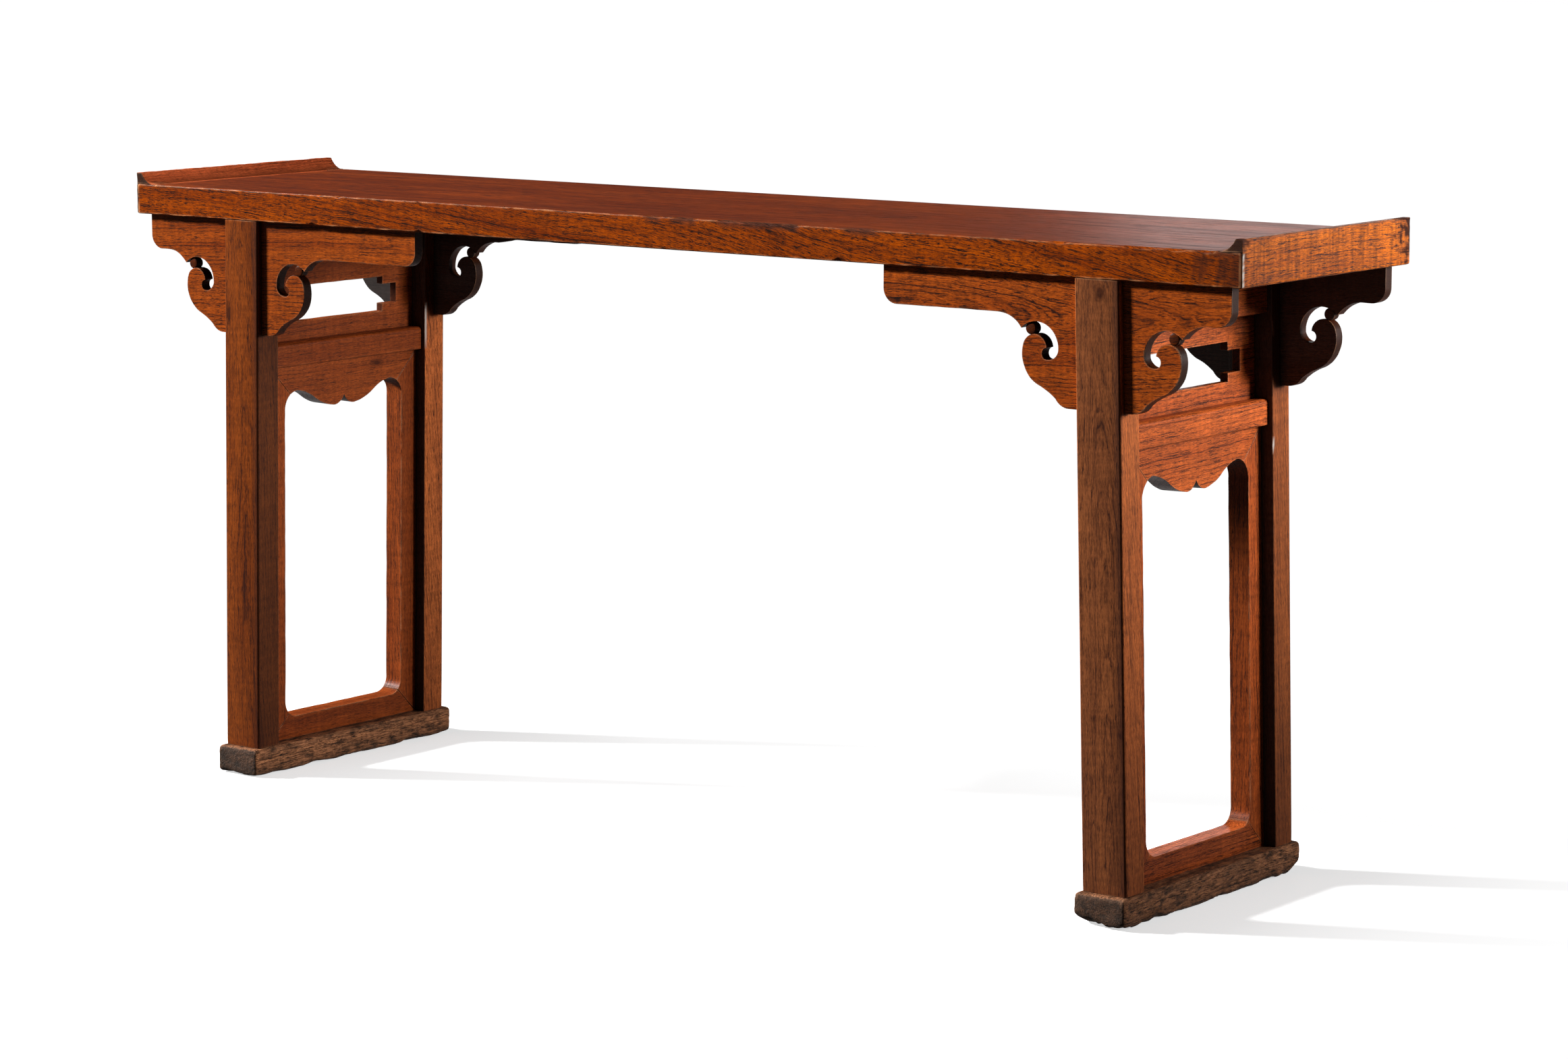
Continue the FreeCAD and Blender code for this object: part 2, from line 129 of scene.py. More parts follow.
class Named(Enum):
    """A choice whose name is a part of the names of pieces."""

    def __str__(self) -> str:
        """Give the name in small letters."""
        return self.name.lower()


class Side(Named):
    """The two trestles, each with its outward direction along X."""

    LEFT = -1.0
    RIGHT = 1.0


class Row(Named):
    """The two rows of legs and spandrels, each with its inward direction along Y."""

    FRONT = 1.0
    BACK = -1.0

    def turned_in(self, facing: Vector) -> bool:
        """Tell whether a face looks straight inward."""
        return facing.y * self.value > SQUARELY


def grey(value: float) -> Colour:
    """Give an opaque grey."""
    return (value, value, value, 1.0)


def paint(red: float, green: float, blue: float) -> Colour:
    """Give an opaque colour."""
    return (red, green, blue, 1.0)


def toned(colour: Colour, share: float) -> Colour:
    """Give a colour made darker or lighter by a share."""
    return paint(*(share * value for value in colour[:3]))


def clamp(value: float, low: float = 0.0, high: float = 1.0) -> float:
    """Hold a number between two others."""
    return min(max(value, low), high)


def uneven(spot: Vector) -> float:
    """Give a rough noise about nought at a place."""
    return noise.fractal(spot, *UNEVEN_NOISE)


def add_object(name: str, data: bpy.types.ID) -> bpy.types.Object:
    """Make an object and put it in the scene.

    Args:
        name: the object's name.
        data: its mesh, lamp or camera.

    Returns:
        The new object.
    """
    made = bpy.data.objects.new(name, data)
    bpy.context.scene.collection.objects.link(made)
    return made


class Graph:
    """A shader node tree with short calls for the nodes that the finishes use."""

    def __init__(self, tree: bpy.types.NodeTree) -> None:
        """Take over a node tree and empty it."""
        self.tree = tree
        tree.nodes.clear()

    def feed(self, socket: Socket, value: Feed) -> None:
        """Link a socket, or set a plain value on it.

        Args:
            socket: the socket that is fed.
            value: another node's output, or a plain value.
        """
        if isinstance(value, Socket):
            self.tree.links.new(value, socket)
        else:
            socket.default_value = value

    def node(self, kind: str, feeds: Feeds | None = None, **settings: object) -> bpy.types.Node:
        """Add a node.

        Args:
            kind: Blender's name for the shader node.
            feeds: what goes into its inputs, by name or number.
            settings: the node's own options.

        Returns:
            The new node.
        """
        made = self.tree.nodes.new(f"ShaderNode{kind}")
        for name, value in settings.items():
            setattr(made, name, value)
        for key, value in (feeds or {}).items():
            self.feed(made.inputs[key], value)
        return made

    def out(self, kind: str, feeds: Feeds | None = None, **settings: object) -> Socket:
        """Add a node and give its first output."""
        return self.node(kind, feeds, **settings).outputs[0]

    def math(self, operation: str, *values: Feed) -> Socket:
        """Add a number sum, chained where it has more than two values.

        Args:
            operation: Blender's name for the sum.
            values: what goes into it.

        Returns:
            The result.
        """
        result = self.out("Math", dict(enumerate(values[:2])), operation=operation)
        for value in values[2:]:
            result = self.math(operation, result, value)
        return result

    def vector(self, operation: str, *values: Feed) -> Socket:
        """Add a vector sum and give its vector result."""
        return self.out("VectorMath", dict(enumerate(values)), operation=operation)

    def measure(self, operation: str, *values: Feed) -> Socket:
        """Add a vector sum and give its number result."""
        return self.node("VectorMath", dict(enumerate(values)), operation=operation).outputs[1]

    def blend(self, share: Feed, first: Feed, second: Feed, mode: str = "MIX") -> Socket:
        """Mix two colours by a share and give the result."""
        feeds = {0: share, 6: first, 7: second}
        return self.node("Mix", feeds, data_type="RGBA", blend_type=mode).outputs[2]

    def span(self, value: Feed, low: float, high: float, start: Feed = 0.0, end: Feed = 1.0) -> Socket:
        """Stretch a range of values over another one, held at both ends."""
        return self.out("MapRange", dict(enumerate((value, low, high, start, end))))

    def noise(self, place: Feed, scale: Triple, detail: float, rough: float = 0.55) -> Outputs:
        """Add a noise that is stretched by a scale per axis, in features per metre."""
        feeds = {"Vector": self.vector("MULTIPLY", place, scale), "Scale": 1.0}
        return self.node("TexNoise", {**feeds, "Detail": detail, "Roughness": rough}).outputs

    def cloud(self, place: Feed, scale: Triple, detail: float, rough: float = 0.55) -> Socket:
        """Add a stretched noise and give its value."""
        return self.noise(place, scale, detail, rough)[0]

    def drift(self, place: Feed, scale: Triple, detail: float, reach: Feed) -> Socket:
        """Give a vector that wanders about nought, by up to half of a reach."""
        wander = self.vector("SUBTRACT", self.noise(place, scale, detail)[1], (0.5, 0.5, 0.5))
        return self.vector("MULTIPLY", wander, reach)

    def covered(self, reach: Feed, low: float, high: float, **settings: bool) -> Socket:
        """Give how closely a place is shut in by what lies within reach."""
        clear = self.node("AmbientOcclusion", {"Distance": reach}, samples=WEAR_SAMPLES, **settings)
        return self.span(self.math("SUBTRACT", 1.0, clear.outputs["AO"]), low, high)

    def mark(self, name: str) -> Socket:
        """Read a mark that was left on the mesh."""
        return self.node("Attribute", attribute_name=name).outputs["Fac"]

    def group(self, name: str, **feeds: Feed) -> Outputs:
        """Place a shared effect with its own values."""
        return self.node("Group", feeds, node_tree=bpy.data.node_groups[name]).outputs

    def matt(self, value: float) -> Socket:
        """Add a dull grey surface."""
        return self.out("BsdfDiffuse", {"Color": grey(value)})

    def glow(self, strength: Feed) -> Socket:
        """Add a white glow."""
        return self.out("Emission", {"Color": grey(1.0), "Strength": strength})

    def mix(self, share: Feed, first: Socket, second: Socket) -> Socket:
        """Mix two shaders by a share."""
        return self.out("MixShader", {0: share, 1: first, 2: second})

    def close(self, kind: str, shader: Socket) -> None:
        """Lead a shader to the output of a material or a world."""
        self.node(f"Output{kind}", {"Surface": shader})


def open_nodes(holder: bpy.types.Material | bpy.types.World) -> Graph:
    """Switch on the nodes of a material or a world and give its emptied tree."""
    holder.use_nodes = True
    return Graph(holder.node_tree)


class Effect(Graph):
    """A shader node group that is built once and placed in many materials."""

    def __init__(self, name: str, inputs: dict[str, str], outputs: dict[str, str]) -> None:
        """Make the group with its sockets.

        Args:
            name: the group's name.
            inputs: the names of its inputs, by kind.
            outputs: the names of its outputs, by kind.
        """
        super().__init__(bpy.data.node_groups.new(name, "ShaderNodeTree"))
        for direction, kinds in (("INPUT", inputs), ("OUTPUT", outputs)):
            for kind, labels in kinds.items():
                for label in labels.split():
                    socket_type = f"NodeSocket{kind}"
                    self.tree.interface.new_socket(label, in_out=direction, socket_type=socket_type)
        self.given = self.tree.nodes.new("NodeGroupInput").outputs
        self.result = self.tree.nodes.new("NodeGroupOutput").inputs

    def give(self, **values: Feed) -> None:
        """Link the group's outputs by name."""
        for label, value in values.items():
            self.feed(self.result[label], value)


def build_rosewood_figure() -> None:
    """Build the solid wood: growth lines round a pith, streaks, short dark pores and cross ripple."""
    inputs = {"Vector": "Place", "Color": "Light Mid Dark", "Float": "Pitch Sway Lines Dashes Ripple Fine"}
    fx = Effect("rosewood_figure", inputs, {"Color": "Figure", "Float": "Height Pores"})
    given = fx.given
    place = given["Place"]
    sideways = fx.out("CombineXYZ", {"Y": given["Sway"], "Z": given["Sway"]})
    slow = fx.drift(place, (1.1, 2.6, 2.6), 1.0, sideways)
    quick = fx.drift(place, (9.0, 34.0, 34.0), 2.0, (0.0, 0.007, 0.007))
    small = fx.drift(place, (40.0, 120.0, 120.0), 3.0, (0.0, 0.0032, 0.0032))
    bent = fx.vector("ADD", fx.vector("ADD", place, slow), fx.vector("ADD", quick, small))
    fine = fx.out("VectorMath", {0: bent, "Scale": given["Fine"]}, operation="SCALE")

    radius = fx.measure("LENGTH", fx.vector("MULTIPLY", bent, (0.0, 1.0, 1.0)))
    ring = fx.math("DIVIDE", radius, given["Pitch"])
    loud = fx.out("TexNoise", {"W": fx.math("MULTIPLY", ring, 0.36), "Scale": 1.0, "Detail": 2.0},
                  noise_dimensions="1D")
    wave = fx.span(fx.math("SINE", fx.math("MULTIPLY", ring, math.tau)), 0.40, 1.0)
    broken = fx.span(fx.cloud(bent, (9.0, 90.0, 90.0), 3.0), 0.36, 0.62, 0.1, 1.0)
    hair = fx.span(fx.math("SINE", fx.math("MULTIPLY", ring, 3.3 * math.tau)), 0.25, 1.0)
    faint = fx.span(fx.cloud(bent, (14.0, 60.0, 60.0), 2.0), 0.40, 0.62)
    lines = fx.math("MULTIPLY", wave, fx.span(loud, 0.32, 0.62, 0.25, 1.0), broken)
    lines = fx.math("ADD", lines, fx.math("MULTIPLY", hair, faint, 0.75))
    streaks = fx.span(fx.cloud(fine, (9.0, 720.0, 720.0), 4.0, 0.70), 0.51, 0.66)
    dashes = fx.span(fx.cloud(fine, (75.0, 720.0, 720.0), 5.0, 0.72), 0.51, 0.64)

    fibres = fx.cloud(bent, (24.0, 900.0, 900.0), 2.0)
    tone = fx.span(fx.cloud(bent, (3.0, 22.0, 22.0), 3.0), 0.34, 0.66)
    threads = fx.math("MULTIPLY", fx.span(fibres, 0.3, 0.7), 0.35)
    warm = fx.math("ADD", fx.math("MULTIPLY", tone, 0.5), threads, fx.span(loud, 0.30, 0.70, 0.35, 0.0))
    ground = fx.blend(warm, given["Mid"], given["Light"])
    drawn = fx.math("ADD", fx.math("MULTIPLY", lines, 0.62), fx.math("MULTIPLY", streaks, 0.75))
    drawn = fx.math("MULTIPLY", drawn, given["Lines"])
    shade = fx.span(fx.math("ADD", drawn, fx.math("MULTIPLY", dashes, given["Dashes"])), 0.0, 1.0)
    figure = fx.blend(shade, ground, given["Dark"])

    swing = fx.span(fx.cloud(bent, (150.0, 14.0, 14.0), 1.0), 0.34, 0.66, -1.0, 1.0)
    grit = fx.span(fx.cloud(fine, (170.0, 900.0, 900.0), 4.0, 0.7), 0.32, 0.68, -0.34, 0.34)
    gleam = fx.math("ADD", fx.math("MULTIPLY", swing, given["Ripple"]), fx.math("ADD", grit, 1.0))
    height = fx.math("SUBTRACT", fx.math("MULTIPLY", fibres, 0.35), shade)
    fx.give(Figure=fx.blend(1.0, figure, gleam, "MULTIPLY"), Height=height, Pores=shade)


def build_arris_wear() -> None:
    """Build the mask of rubbed arrises, broken up along their length; their pale colour is partly wear and
    partly a painted highlight.
    """
    fx = Effect("arris_wear", {"Vector": "Place", "Float": "Reach Amount"}, {"Float": "Rubbed"})
    near = fx.covered(fx.given["Reach"], 0.12, 0.46, inside=True, only_local=True)
    patchy = fx.span(fx.cloud(fx.given["Place"], (45.0, 45.0, 45.0), 3.0), 0.36, 0.66)
    fx.give(Rubbed=fx.math("MULTIPLY", near, patchy, fx.given["Amount"]))


def build_crevice_grime() -> None:
    """Build the mask of painted shade that darkens corners between pieces, where little light reaches."""
    fx = Effect("crevice_grime", {"Float": "Reach Amount"}, {"Float": "Dirt"})
    close = fx.covered(fx.given["Reach"], 0.30, 0.85)
    fx.give(Dirt=fx.math("MULTIPLY", close, fx.given["Amount"]))


def build_end_grain() -> None:
    """Build the mask of faces that cut across the fibres."""
    fx = Effect("end_grain", {"Vector": "Fibres", "Float": "Amount"}, {"Float": "Cut"})
    facing = fx.node("NewGeometry").outputs["Normal"]
    across = fx.math("ABSOLUTE", fx.measure("DOT_PRODUCT", facing, fx.given["Fibres"]))
    fx.give(Cut=fx.math("MULTIPLY", fx.span(across, 0.45, 0.85), fx.given["Amount"]))


def build_knot_rings() -> None:
    """Build one knot: a dark heart and rings that fade out round it."""
    fx = Effect("knot_rings", {"Vector": "Place Heart Squeeze", "Float": "Reach"}, {"Float": "Knot"})
    given = fx.given
    off = fx.vector("MULTIPLY", fx.vector("SUBTRACT", given["Place"], given["Heart"]), given["Squeeze"])
    jitter = fx.drift(given["Place"], (60.0, 60.0, 60.0), 2.0, (0.008, 0.008, 0.008))
    far = fx.math("DIVIDE", fx.measure("LENGTH", fx.vector("ADD", off, jitter)), given["Reach"])
    fade = fx.span(far, 0.15, 1.0, 1.0, 0.0)
    rings = fx.span(fx.math("SINE", fx.math("MULTIPLY", far, 24.0)), -0.4, 0.9, 0.15, 0.75)
    heart = fx.span(far, 0.16, 0.34, 1.0, 0.0)
    marks = fx.math("MAXIMUM", fx.math("MULTIPLY", rings, fx.math("MULTIPLY", fade, fade)), heart)
    fx.give(Knot=fx.math("MULTIPLY", marks, 0.8))


def build_surface_rot() -> None:
    """Build the dark patches, cracks and lumps of wood that has stood on damp floors."""
    fx = Effect("surface_rot", {"Vector": "Place", "Float": "Amount"}, {"Float": "Rotten Lumps"})
    place = fx.given["Place"]
    patches = fx.cloud(place, (95.0, 42.0, 95.0), 5.0, 0.68)
    level = fx.cloud(place, (70.0, 7.0, 26.0), 2.0)
    cracks = fx.span(fx.math("ABSOLUTE", fx.math("SUBTRACT", level, 0.5)), 0.0, 0.012, 0.9, 0.0)
    cracks = fx.math("MULTIPLY", cracks, fx.span(patches, 0.47, 0.54))
    soft = fx.math("MULTIPLY", fx.span(patches, 0.46, 0.66), fx.given["Amount"])
    lumps = fx.math("SUBTRACT", fx.cloud(place, (190.0, 110.0, 190.0), 4.0, 0.65), patches)
    lumps = fx.math("SUBTRACT", fx.math("MULTIPLY", lumps, 5.0), fx.math("MULTIPLY", cracks, 2.0))
    fx.give(Rotten=fx.math("MAXIMUM", soft, cracks), Lumps=lumps)


@dataclass(frozen=True)
class Knot:
    """A knot in the face of a piece, at a place in the table's own frame."""

    heart: Triple
    reach: float
    squeeze: Triple | None = None


@dataclass(frozen=True)
class Nick:
    """A pale nick: its middle, its half size along each axis and its depth."""

    at: Triple
    half: Triple
    depth: float


@dataclass(frozen=True)
class Break:
    """Wood that is missing above the floor at one end of a foot, across it or on its left only."""

    end: int
    start: float
    depth: float
    left_only: bool = False
    past_middle: float = 0.25

    def missing(self, across: float, along: float) -> float:
        """Give how much wood is missing above a place.

        Args:
            across: the place across the foot, from -1 to 1.
            along: the place along the foot, from -1 to 1.

        Returns:
            The missing height, in metres.
        """
        share = clamp((self.end * along - self.start) / (1.0 - self.start))
        if self.left_only:
            share *= max(0.0, self.past_middle - across) / (1.0 + self.past_middle)
        return self.depth * share


@dataclass(frozen=True)
class Chip:
    """A break in an arris: its middle, half length, depths into both faces and darkness."""

    at: float
    half: float
    first: float
    second: float
    dark: float = 0.0

    def share(self, where: float) -> float:
        """Give how much of its depth the chip has at a place along the arris."""
        return max(0.0, 1.0 - ((where - self.at) / self.half) ** 2)

    def bites(self, where: float) -> Span:
        """Give how much the chip takes off both faces.

        Args:
            where: the place along the arris.

        Returns:
            The depth into the first and the second face.
        """
        ragged = CHIP_RAGGED * noise.noise(Vector((where, self.at, 0.0)) * Vector(CHIP_SCALE))
        share = self.share(where) * (1.0 + ragged)
        return (self.first * share, self.second * share)

    def shade(self, where: float) -> float:
        """Give how dark the chip is at a place along the arris."""
        return self.dark * min(1.0, CHIP_SHADE_GAIN * self.share(where))


@dataclass(frozen=True)
class Arris:
    """A straight arris of a piece: the two axes across it and which side of the piece it is on."""

    axes: tuple[int, int]
    signs: tuple[int, int]

    def along(self) -> int:
        """Give the axis that the arris runs along."""
        return 3 - sum(self.axes)

    def corner(self, low: Vector, high: Vector) -> list[float]:
        """Give where the arris lies on its two axes, on a piece between two corners."""
        return [high[axis] if sign > 0 else low[axis] for axis, sign in zip(self.axes, self.signs)]


@dataclass(frozen=True)
class Log:
    """How a piece was cut: the fibres' direction and where the pith lies off the piece's middle."""

    grain: Grain
    pith: Span
    lean: float = 0.0
    shift: float = 0.0
    tilt: float = 0.0

    def further(self, shift: float) -> "Log":
        """Give the same cut from another stretch of the log."""
        return replace(self, shift=shift)

    def turn(self) -> Matrix:
        """Give the rotation from the table's axes to the log's."""
        lean = Matrix.Rotation(self.lean, 3, "Z") @ Matrix.Rotation(self.lean * LEAN_DOWN, 3, "Y")
        return Matrix.Rotation(self.tilt, 3, "Y") @ lean @ self.grain.turn()

    def squeeze(self) -> Triple:
        """Give how knots are drawn out along the fibres."""
        return tuple(Vector((1.0, 1.0, 1.0)) - KNOT_DRAW * Vector(self.grain.value))


@dataclass(frozen=True)
class Rosewood:
    """A rosewood finish: its colours, figure, wear that is partly a painted arris highlight, painted shade
    in corners, and sheen.
    """

    light: Colour = paint(0.50, 0.120, 0.013)
    mid: Colour = paint(0.22, 0.040, 0.004)
    dark: Colour = paint(0.032, 0.007, 0.003)
    # pale colour of rubbed arrises: partly wear, partly a painted highlight
    rubbed: Colour = paint(0.80, 0.40, 0.20)
    cut: Colour = paint(0.016, 0.008, 0.005)
    bare: Colour = paint(0.70, 0.64, 0.58)
    pitch: float = 0.0062
    sway: float = 0.03
    lines: float = 0.75
    dashes: float = 0.45
    ripple: float = 0.10
    fine: float = 1.0
    # how strongly arrises are rubbed pale: partly wear, partly a painted highlight
    wear: float = 0.35
    wear_reach: float = 3 * MM
    # painted shade in corners between pieces: how strong it is and how far round it looks
    grime: float = 0.8
    grime_reach: float = 38 * MM
    roughness: float = 0.34
    pore_roughness: float = 0.16
    worn_roughness: float = 0.14
    hollow_roughness: float = 0.4
    gloss: float = 0.08
    coat: float = 0.02
    coat_roughness: float = 0.24
    relief: float = 0.10
    relief_depth: float = 0.6 * MM
    end_share: float = 0.75
    rot: float = 0.0

    def toned(self, share: float, **changes: float) -> "Rosewood":
        """Give the same wood with a darker or lighter ground and other changes."""
        return replace(self, light=toned(self.light, share), mid=toned(self.mid, share), **changes)

    def dress(self, name: str, cut: Log, middle: Vector, knots: tuple[Knot, ...]) -> bpy.types.Material:
        """Make the material of one piece.

        Args:
            name: the material's name.
            cut: how the piece lies in its log.
            middle: the middle of the piece.
            knots: knots that show in its faces.

        Returns:
            The material.
        """
        material = bpy.data.materials.new(name)
        tree = open_nodes(material)
        place = tree.node("TexCoord").outputs["Object"]
        turn = cut.turn()
        start = Vector((cut.shift, *cut.pith)) - turn @ middle
        inside = tree.out(
            "Mapping", {"Vector": place, "Location": tuple(start), "Rotation": tuple(turn.to_euler())})
        wood = tree.group(
            "rosewood_figure", Place=inside, Light=self.light, Mid=self.mid, Dark=self.dark,
            Pitch=self.pitch, Sway=self.sway, Lines=self.lines, Dashes=self.dashes, Ripple=self.ripple,
            Fine=self.fine)
        layers = []
        for knot in knots:
            squeeze = knot.squeeze or cut.squeeze()
            rings = tree.group(
                "knot_rings", Place=place, Heart=knot.heart, Squeeze=squeeze, Reach=knot.reach)
            layers.append((rings[0], self.dark))
        height = wood["Height"]
        if self.rot:
            decay = tree.group("surface_rot", Place=place, Amount=self.rot)
            layers.append((decay["Rotten"], self.dark))
            height = tree.math("ADD", height, decay["Lumps"])
        ends = tree.group("end_grain", Fibres=cut.grain.value, Amount=self.end_share)[0]
        # pale rubbed arrises: partly wear, partly a painted highlight along the edges
        rubbed = tree.group("arris_wear", Place=place, Reach=self.wear_reach, Amount=self.wear)[0]
        # the dark mark left on the mesh: chips, stains, rot and painted shade
        hollow = tree.mark("hollow")
        # painted shade in corners and crevices, where little light reaches
        dirt = tree.group("crevice_grime", Reach=self.grime_reach, Amount=self.grime)[0]
        layers += [(ends, self.cut), (rubbed, self.rubbed), (hollow, self.dark)]
        layers += [(tree.mark("scuff"), self.bare), (dirt, self.dark)]
        colour = wood["Figure"]
        for share, shown in layers:
            colour = tree.blend(share, colour, shown)

        pores = tree.math("MULTIPLY", wood["Pores"], self.pore_roughness)
        worn = tree.math("MULTIPLY", tree.math("ADD", ends, rubbed), self.worn_roughness)
        dull = tree.math("MULTIPLY", hollow, self.hollow_roughness)
        relief = {"Strength": self.relief, "Distance": self.relief_depth, "Height": height}
        surface = tree.out("BsdfPrincipled", {
            "Base Color": colour,
            "Roughness": tree.math("ADD", pores, self.roughness, worn, dull),
            "Specular IOR Level": self.gloss,
            "Coat Weight": self.coat,
            "Coat Roughness": self.coat_roughness,
            "Normal": tree.out("Bump", relief),
        })
        tree.close("Material", surface)
        return material


PLANK_FACE = Rosewood(
    light=paint(0.28, 0.045, 0.005), mid=paint(0.092, 0.010, 0.002), dark=paint(0.022, 0.005, 0.003),
    pitch=0.016, sway=0.09, lines=0.55, dashes=0.60, ripple=0.05, fine=0.28, wear=0.9, roughness=0.40,
    gloss=0.22)
# the strong rub on the plank's edges paints the bright highlight line along its upper arris as well as
# wear
PLANK_EDGE = Rosewood(
    light=paint(0.48, 0.082, 0.001), mid=paint(0.20, 0.025, 0.001), dark=paint(0.014, 0.004, 0.002),
    rubbed=paint(0.86, 0.36, 0.15), pitch=0.0065, sway=0.20, lines=1.15, dashes=1.1, ripple=0.12, fine=1.1,
    wear=1.7, wear_reach=4 * MM, gloss=0.05)
FLANGE = Rosewood(
    light=paint(0.62, 0.142, 0.006), mid=paint(0.28, 0.046, 0.002), pitch=0.0052, lines=1.15, dashes=0.95,
    ripple=0.30, wear=0.3, end_share=0.92)
# a lighter, redder copy of the flange finish for the left end's inner and upper faces; its lightness is
# painted light
LIT_LEFT_FLANGE_INSIDE = replace(
    FLANGE, light=paint(0.82, 0.165, 0.050), mid=paint(0.46, 0.078, 0.024), pitch=0.0045, lines=0.60,
    dashes=0.45, ripple=0.10)
RIGHT_FLANGE_INSIDE = FLANGE.toned(0.5)
LEG = Rosewood(
    light=paint(0.31, 0.095, 0.029), mid=paint(0.143, 0.042, 0.016), pitch=0.0052, sway=0.06, lines=0.90,
    dashes=0.50, ripple=0.08, fine=0.95)
RUDDY_LEG = replace(
    LEG, light=paint(0.32, 0.070, 0.009), mid=paint(0.130, 0.025, 0.005), pitch=0.0050, dashes=0.55,
    fine=0.9, gloss=0.06)
CHEEK = replace(LEG, light=paint(0.31, 0.080, 0.019), mid=paint(0.143, 0.035, 0.010))
SCROLL = Rosewood(
    light=paint(0.53, 0.101, 0.009), mid=paint(0.24, 0.034, 0.004), dark=paint(0.022, 0.005, 0.002),
    pitch=0.0056, sway=0.10, lines=1.25, dashes=0.60, fine=1.05, gloss=0.06)
DARK_SCROLL = SCROLL.toned(0.86)
# a darker copy for the spandrels' cut edges: painted shade where the lamps don't reach
SHADED_SCROLL_EDGE = SCROLL.toned(0.24, gloss=0.10)
PEARL = SCROLL.toned(0.22, wear=0.0)
FRAME = Rosewood(
    light=paint(0.71, 0.146, 0.028), mid=paint(0.33, 0.055, 0.011), pitch=0.0056, lines=1.10, dashes=0.55,
    fine=1.1)
# a darker copy of the frame finish for the left trestle: painted shade where less light reaches it, with
# fainter figure
SHADED_FRAME = FRAME.toned(0.60, lines=0.65, dashes=0.5)
# a darker copy for the stiles' faces in the opening: painted shade
SHADED_STILE_EDGE = FRAME.toned(0.5)
# darker copies for undersides: painted shade; the arch's underside is glossy so that it mirrors the floor
SHADED_RAIL_UNDERSIDE = FRAME.toned(0.25, gloss=0.06)
SHADED_ARCH_UNDERSIDE = FRAME.toned(0.25, gloss=0.5)
# a dark copy of the wood for faces that look inward into the table: painted shade where little light
# reaches
INNER_SHADE = Rosewood(
    light=paint(0.110, 0.070, 0.055), mid=paint(0.050, 0.030, 0.023), dark=paint(0.010, 0.007, 0.006),
    rubbed=paint(0.12, 0.06, 0.04), lines=0.6, dashes=0.4, wear=0.2, roughness=0.5, gloss=0.2)
SHOE = Rosewood(
    light=paint(0.74, 0.295, 0.125), mid=paint(0.250, 0.106, 0.050), dark=paint(0.012, 0.007, 0.004),
    rubbed=paint(0.60, 0.29, 0.15), cut=paint(0.024, 0.016, 0.011), lines=0.75, dashes=0.95, fine=0.8,
    wear=0.9, wear_reach=8 * MM, roughness=0.55, gloss=0.2, coat=0.0, relief=0.8, end_share=0.85, rot=0.85)


class Piece:
    """A mesh in the making, beside one of the frame's solids and in its box."""

    def __init__(self, node: str) -> None:
        """Start an empty mesh.

        Args:
            node: the solid's name.
        """
        self.node = node
        self.source = bpy.data.objects[node]
        self.low, self.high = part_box(node)
        self.middle = (self.low + self.high) / 2
        self.half = (self.high - self.low) / 2
        self.work = bmesh.new()
        self.materials: list[bpy.types.Material] = []

    def coat(self, word: str, finish: Rosewood, cut: Log, chosen: Chooser | None = None,
             knots: tuple[Knot, ...] = ()) -> None:
        """Add a finish, and give it to the faces whose normal is chosen.

        Args:
            word: the end of the material's name.
            finish: the finish.
            cut: how the piece lies in its log.
            chosen: tells by its normal whether a face takes the finish.
            knots: knots that show in the finish.
        """
        if chosen:
            self.work.normal_update()
            for face in self.work.faces:
                if chosen(face.normal):
                    face.material_index = len(self.materials)
        self.materials.append(finish.dress(f"{self.node}_{word}", cut, self.middle, knots))

    def hang(self, name: str) -> bpy.types.Object:
        """Turn the mesh into an object that rides on the solid's body.

        Args:
            name: the object's name.

        Returns:
            The new object.
        """
        mesh = bpy.data.meshes.new(name)
        self.work.to_mesh(mesh)
        self.work.free()
        for material in self.materials:
            mesh.materials.append(material)
        piece = add_object(name, mesh)
        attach(piece, self.source["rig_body"])
        return piece


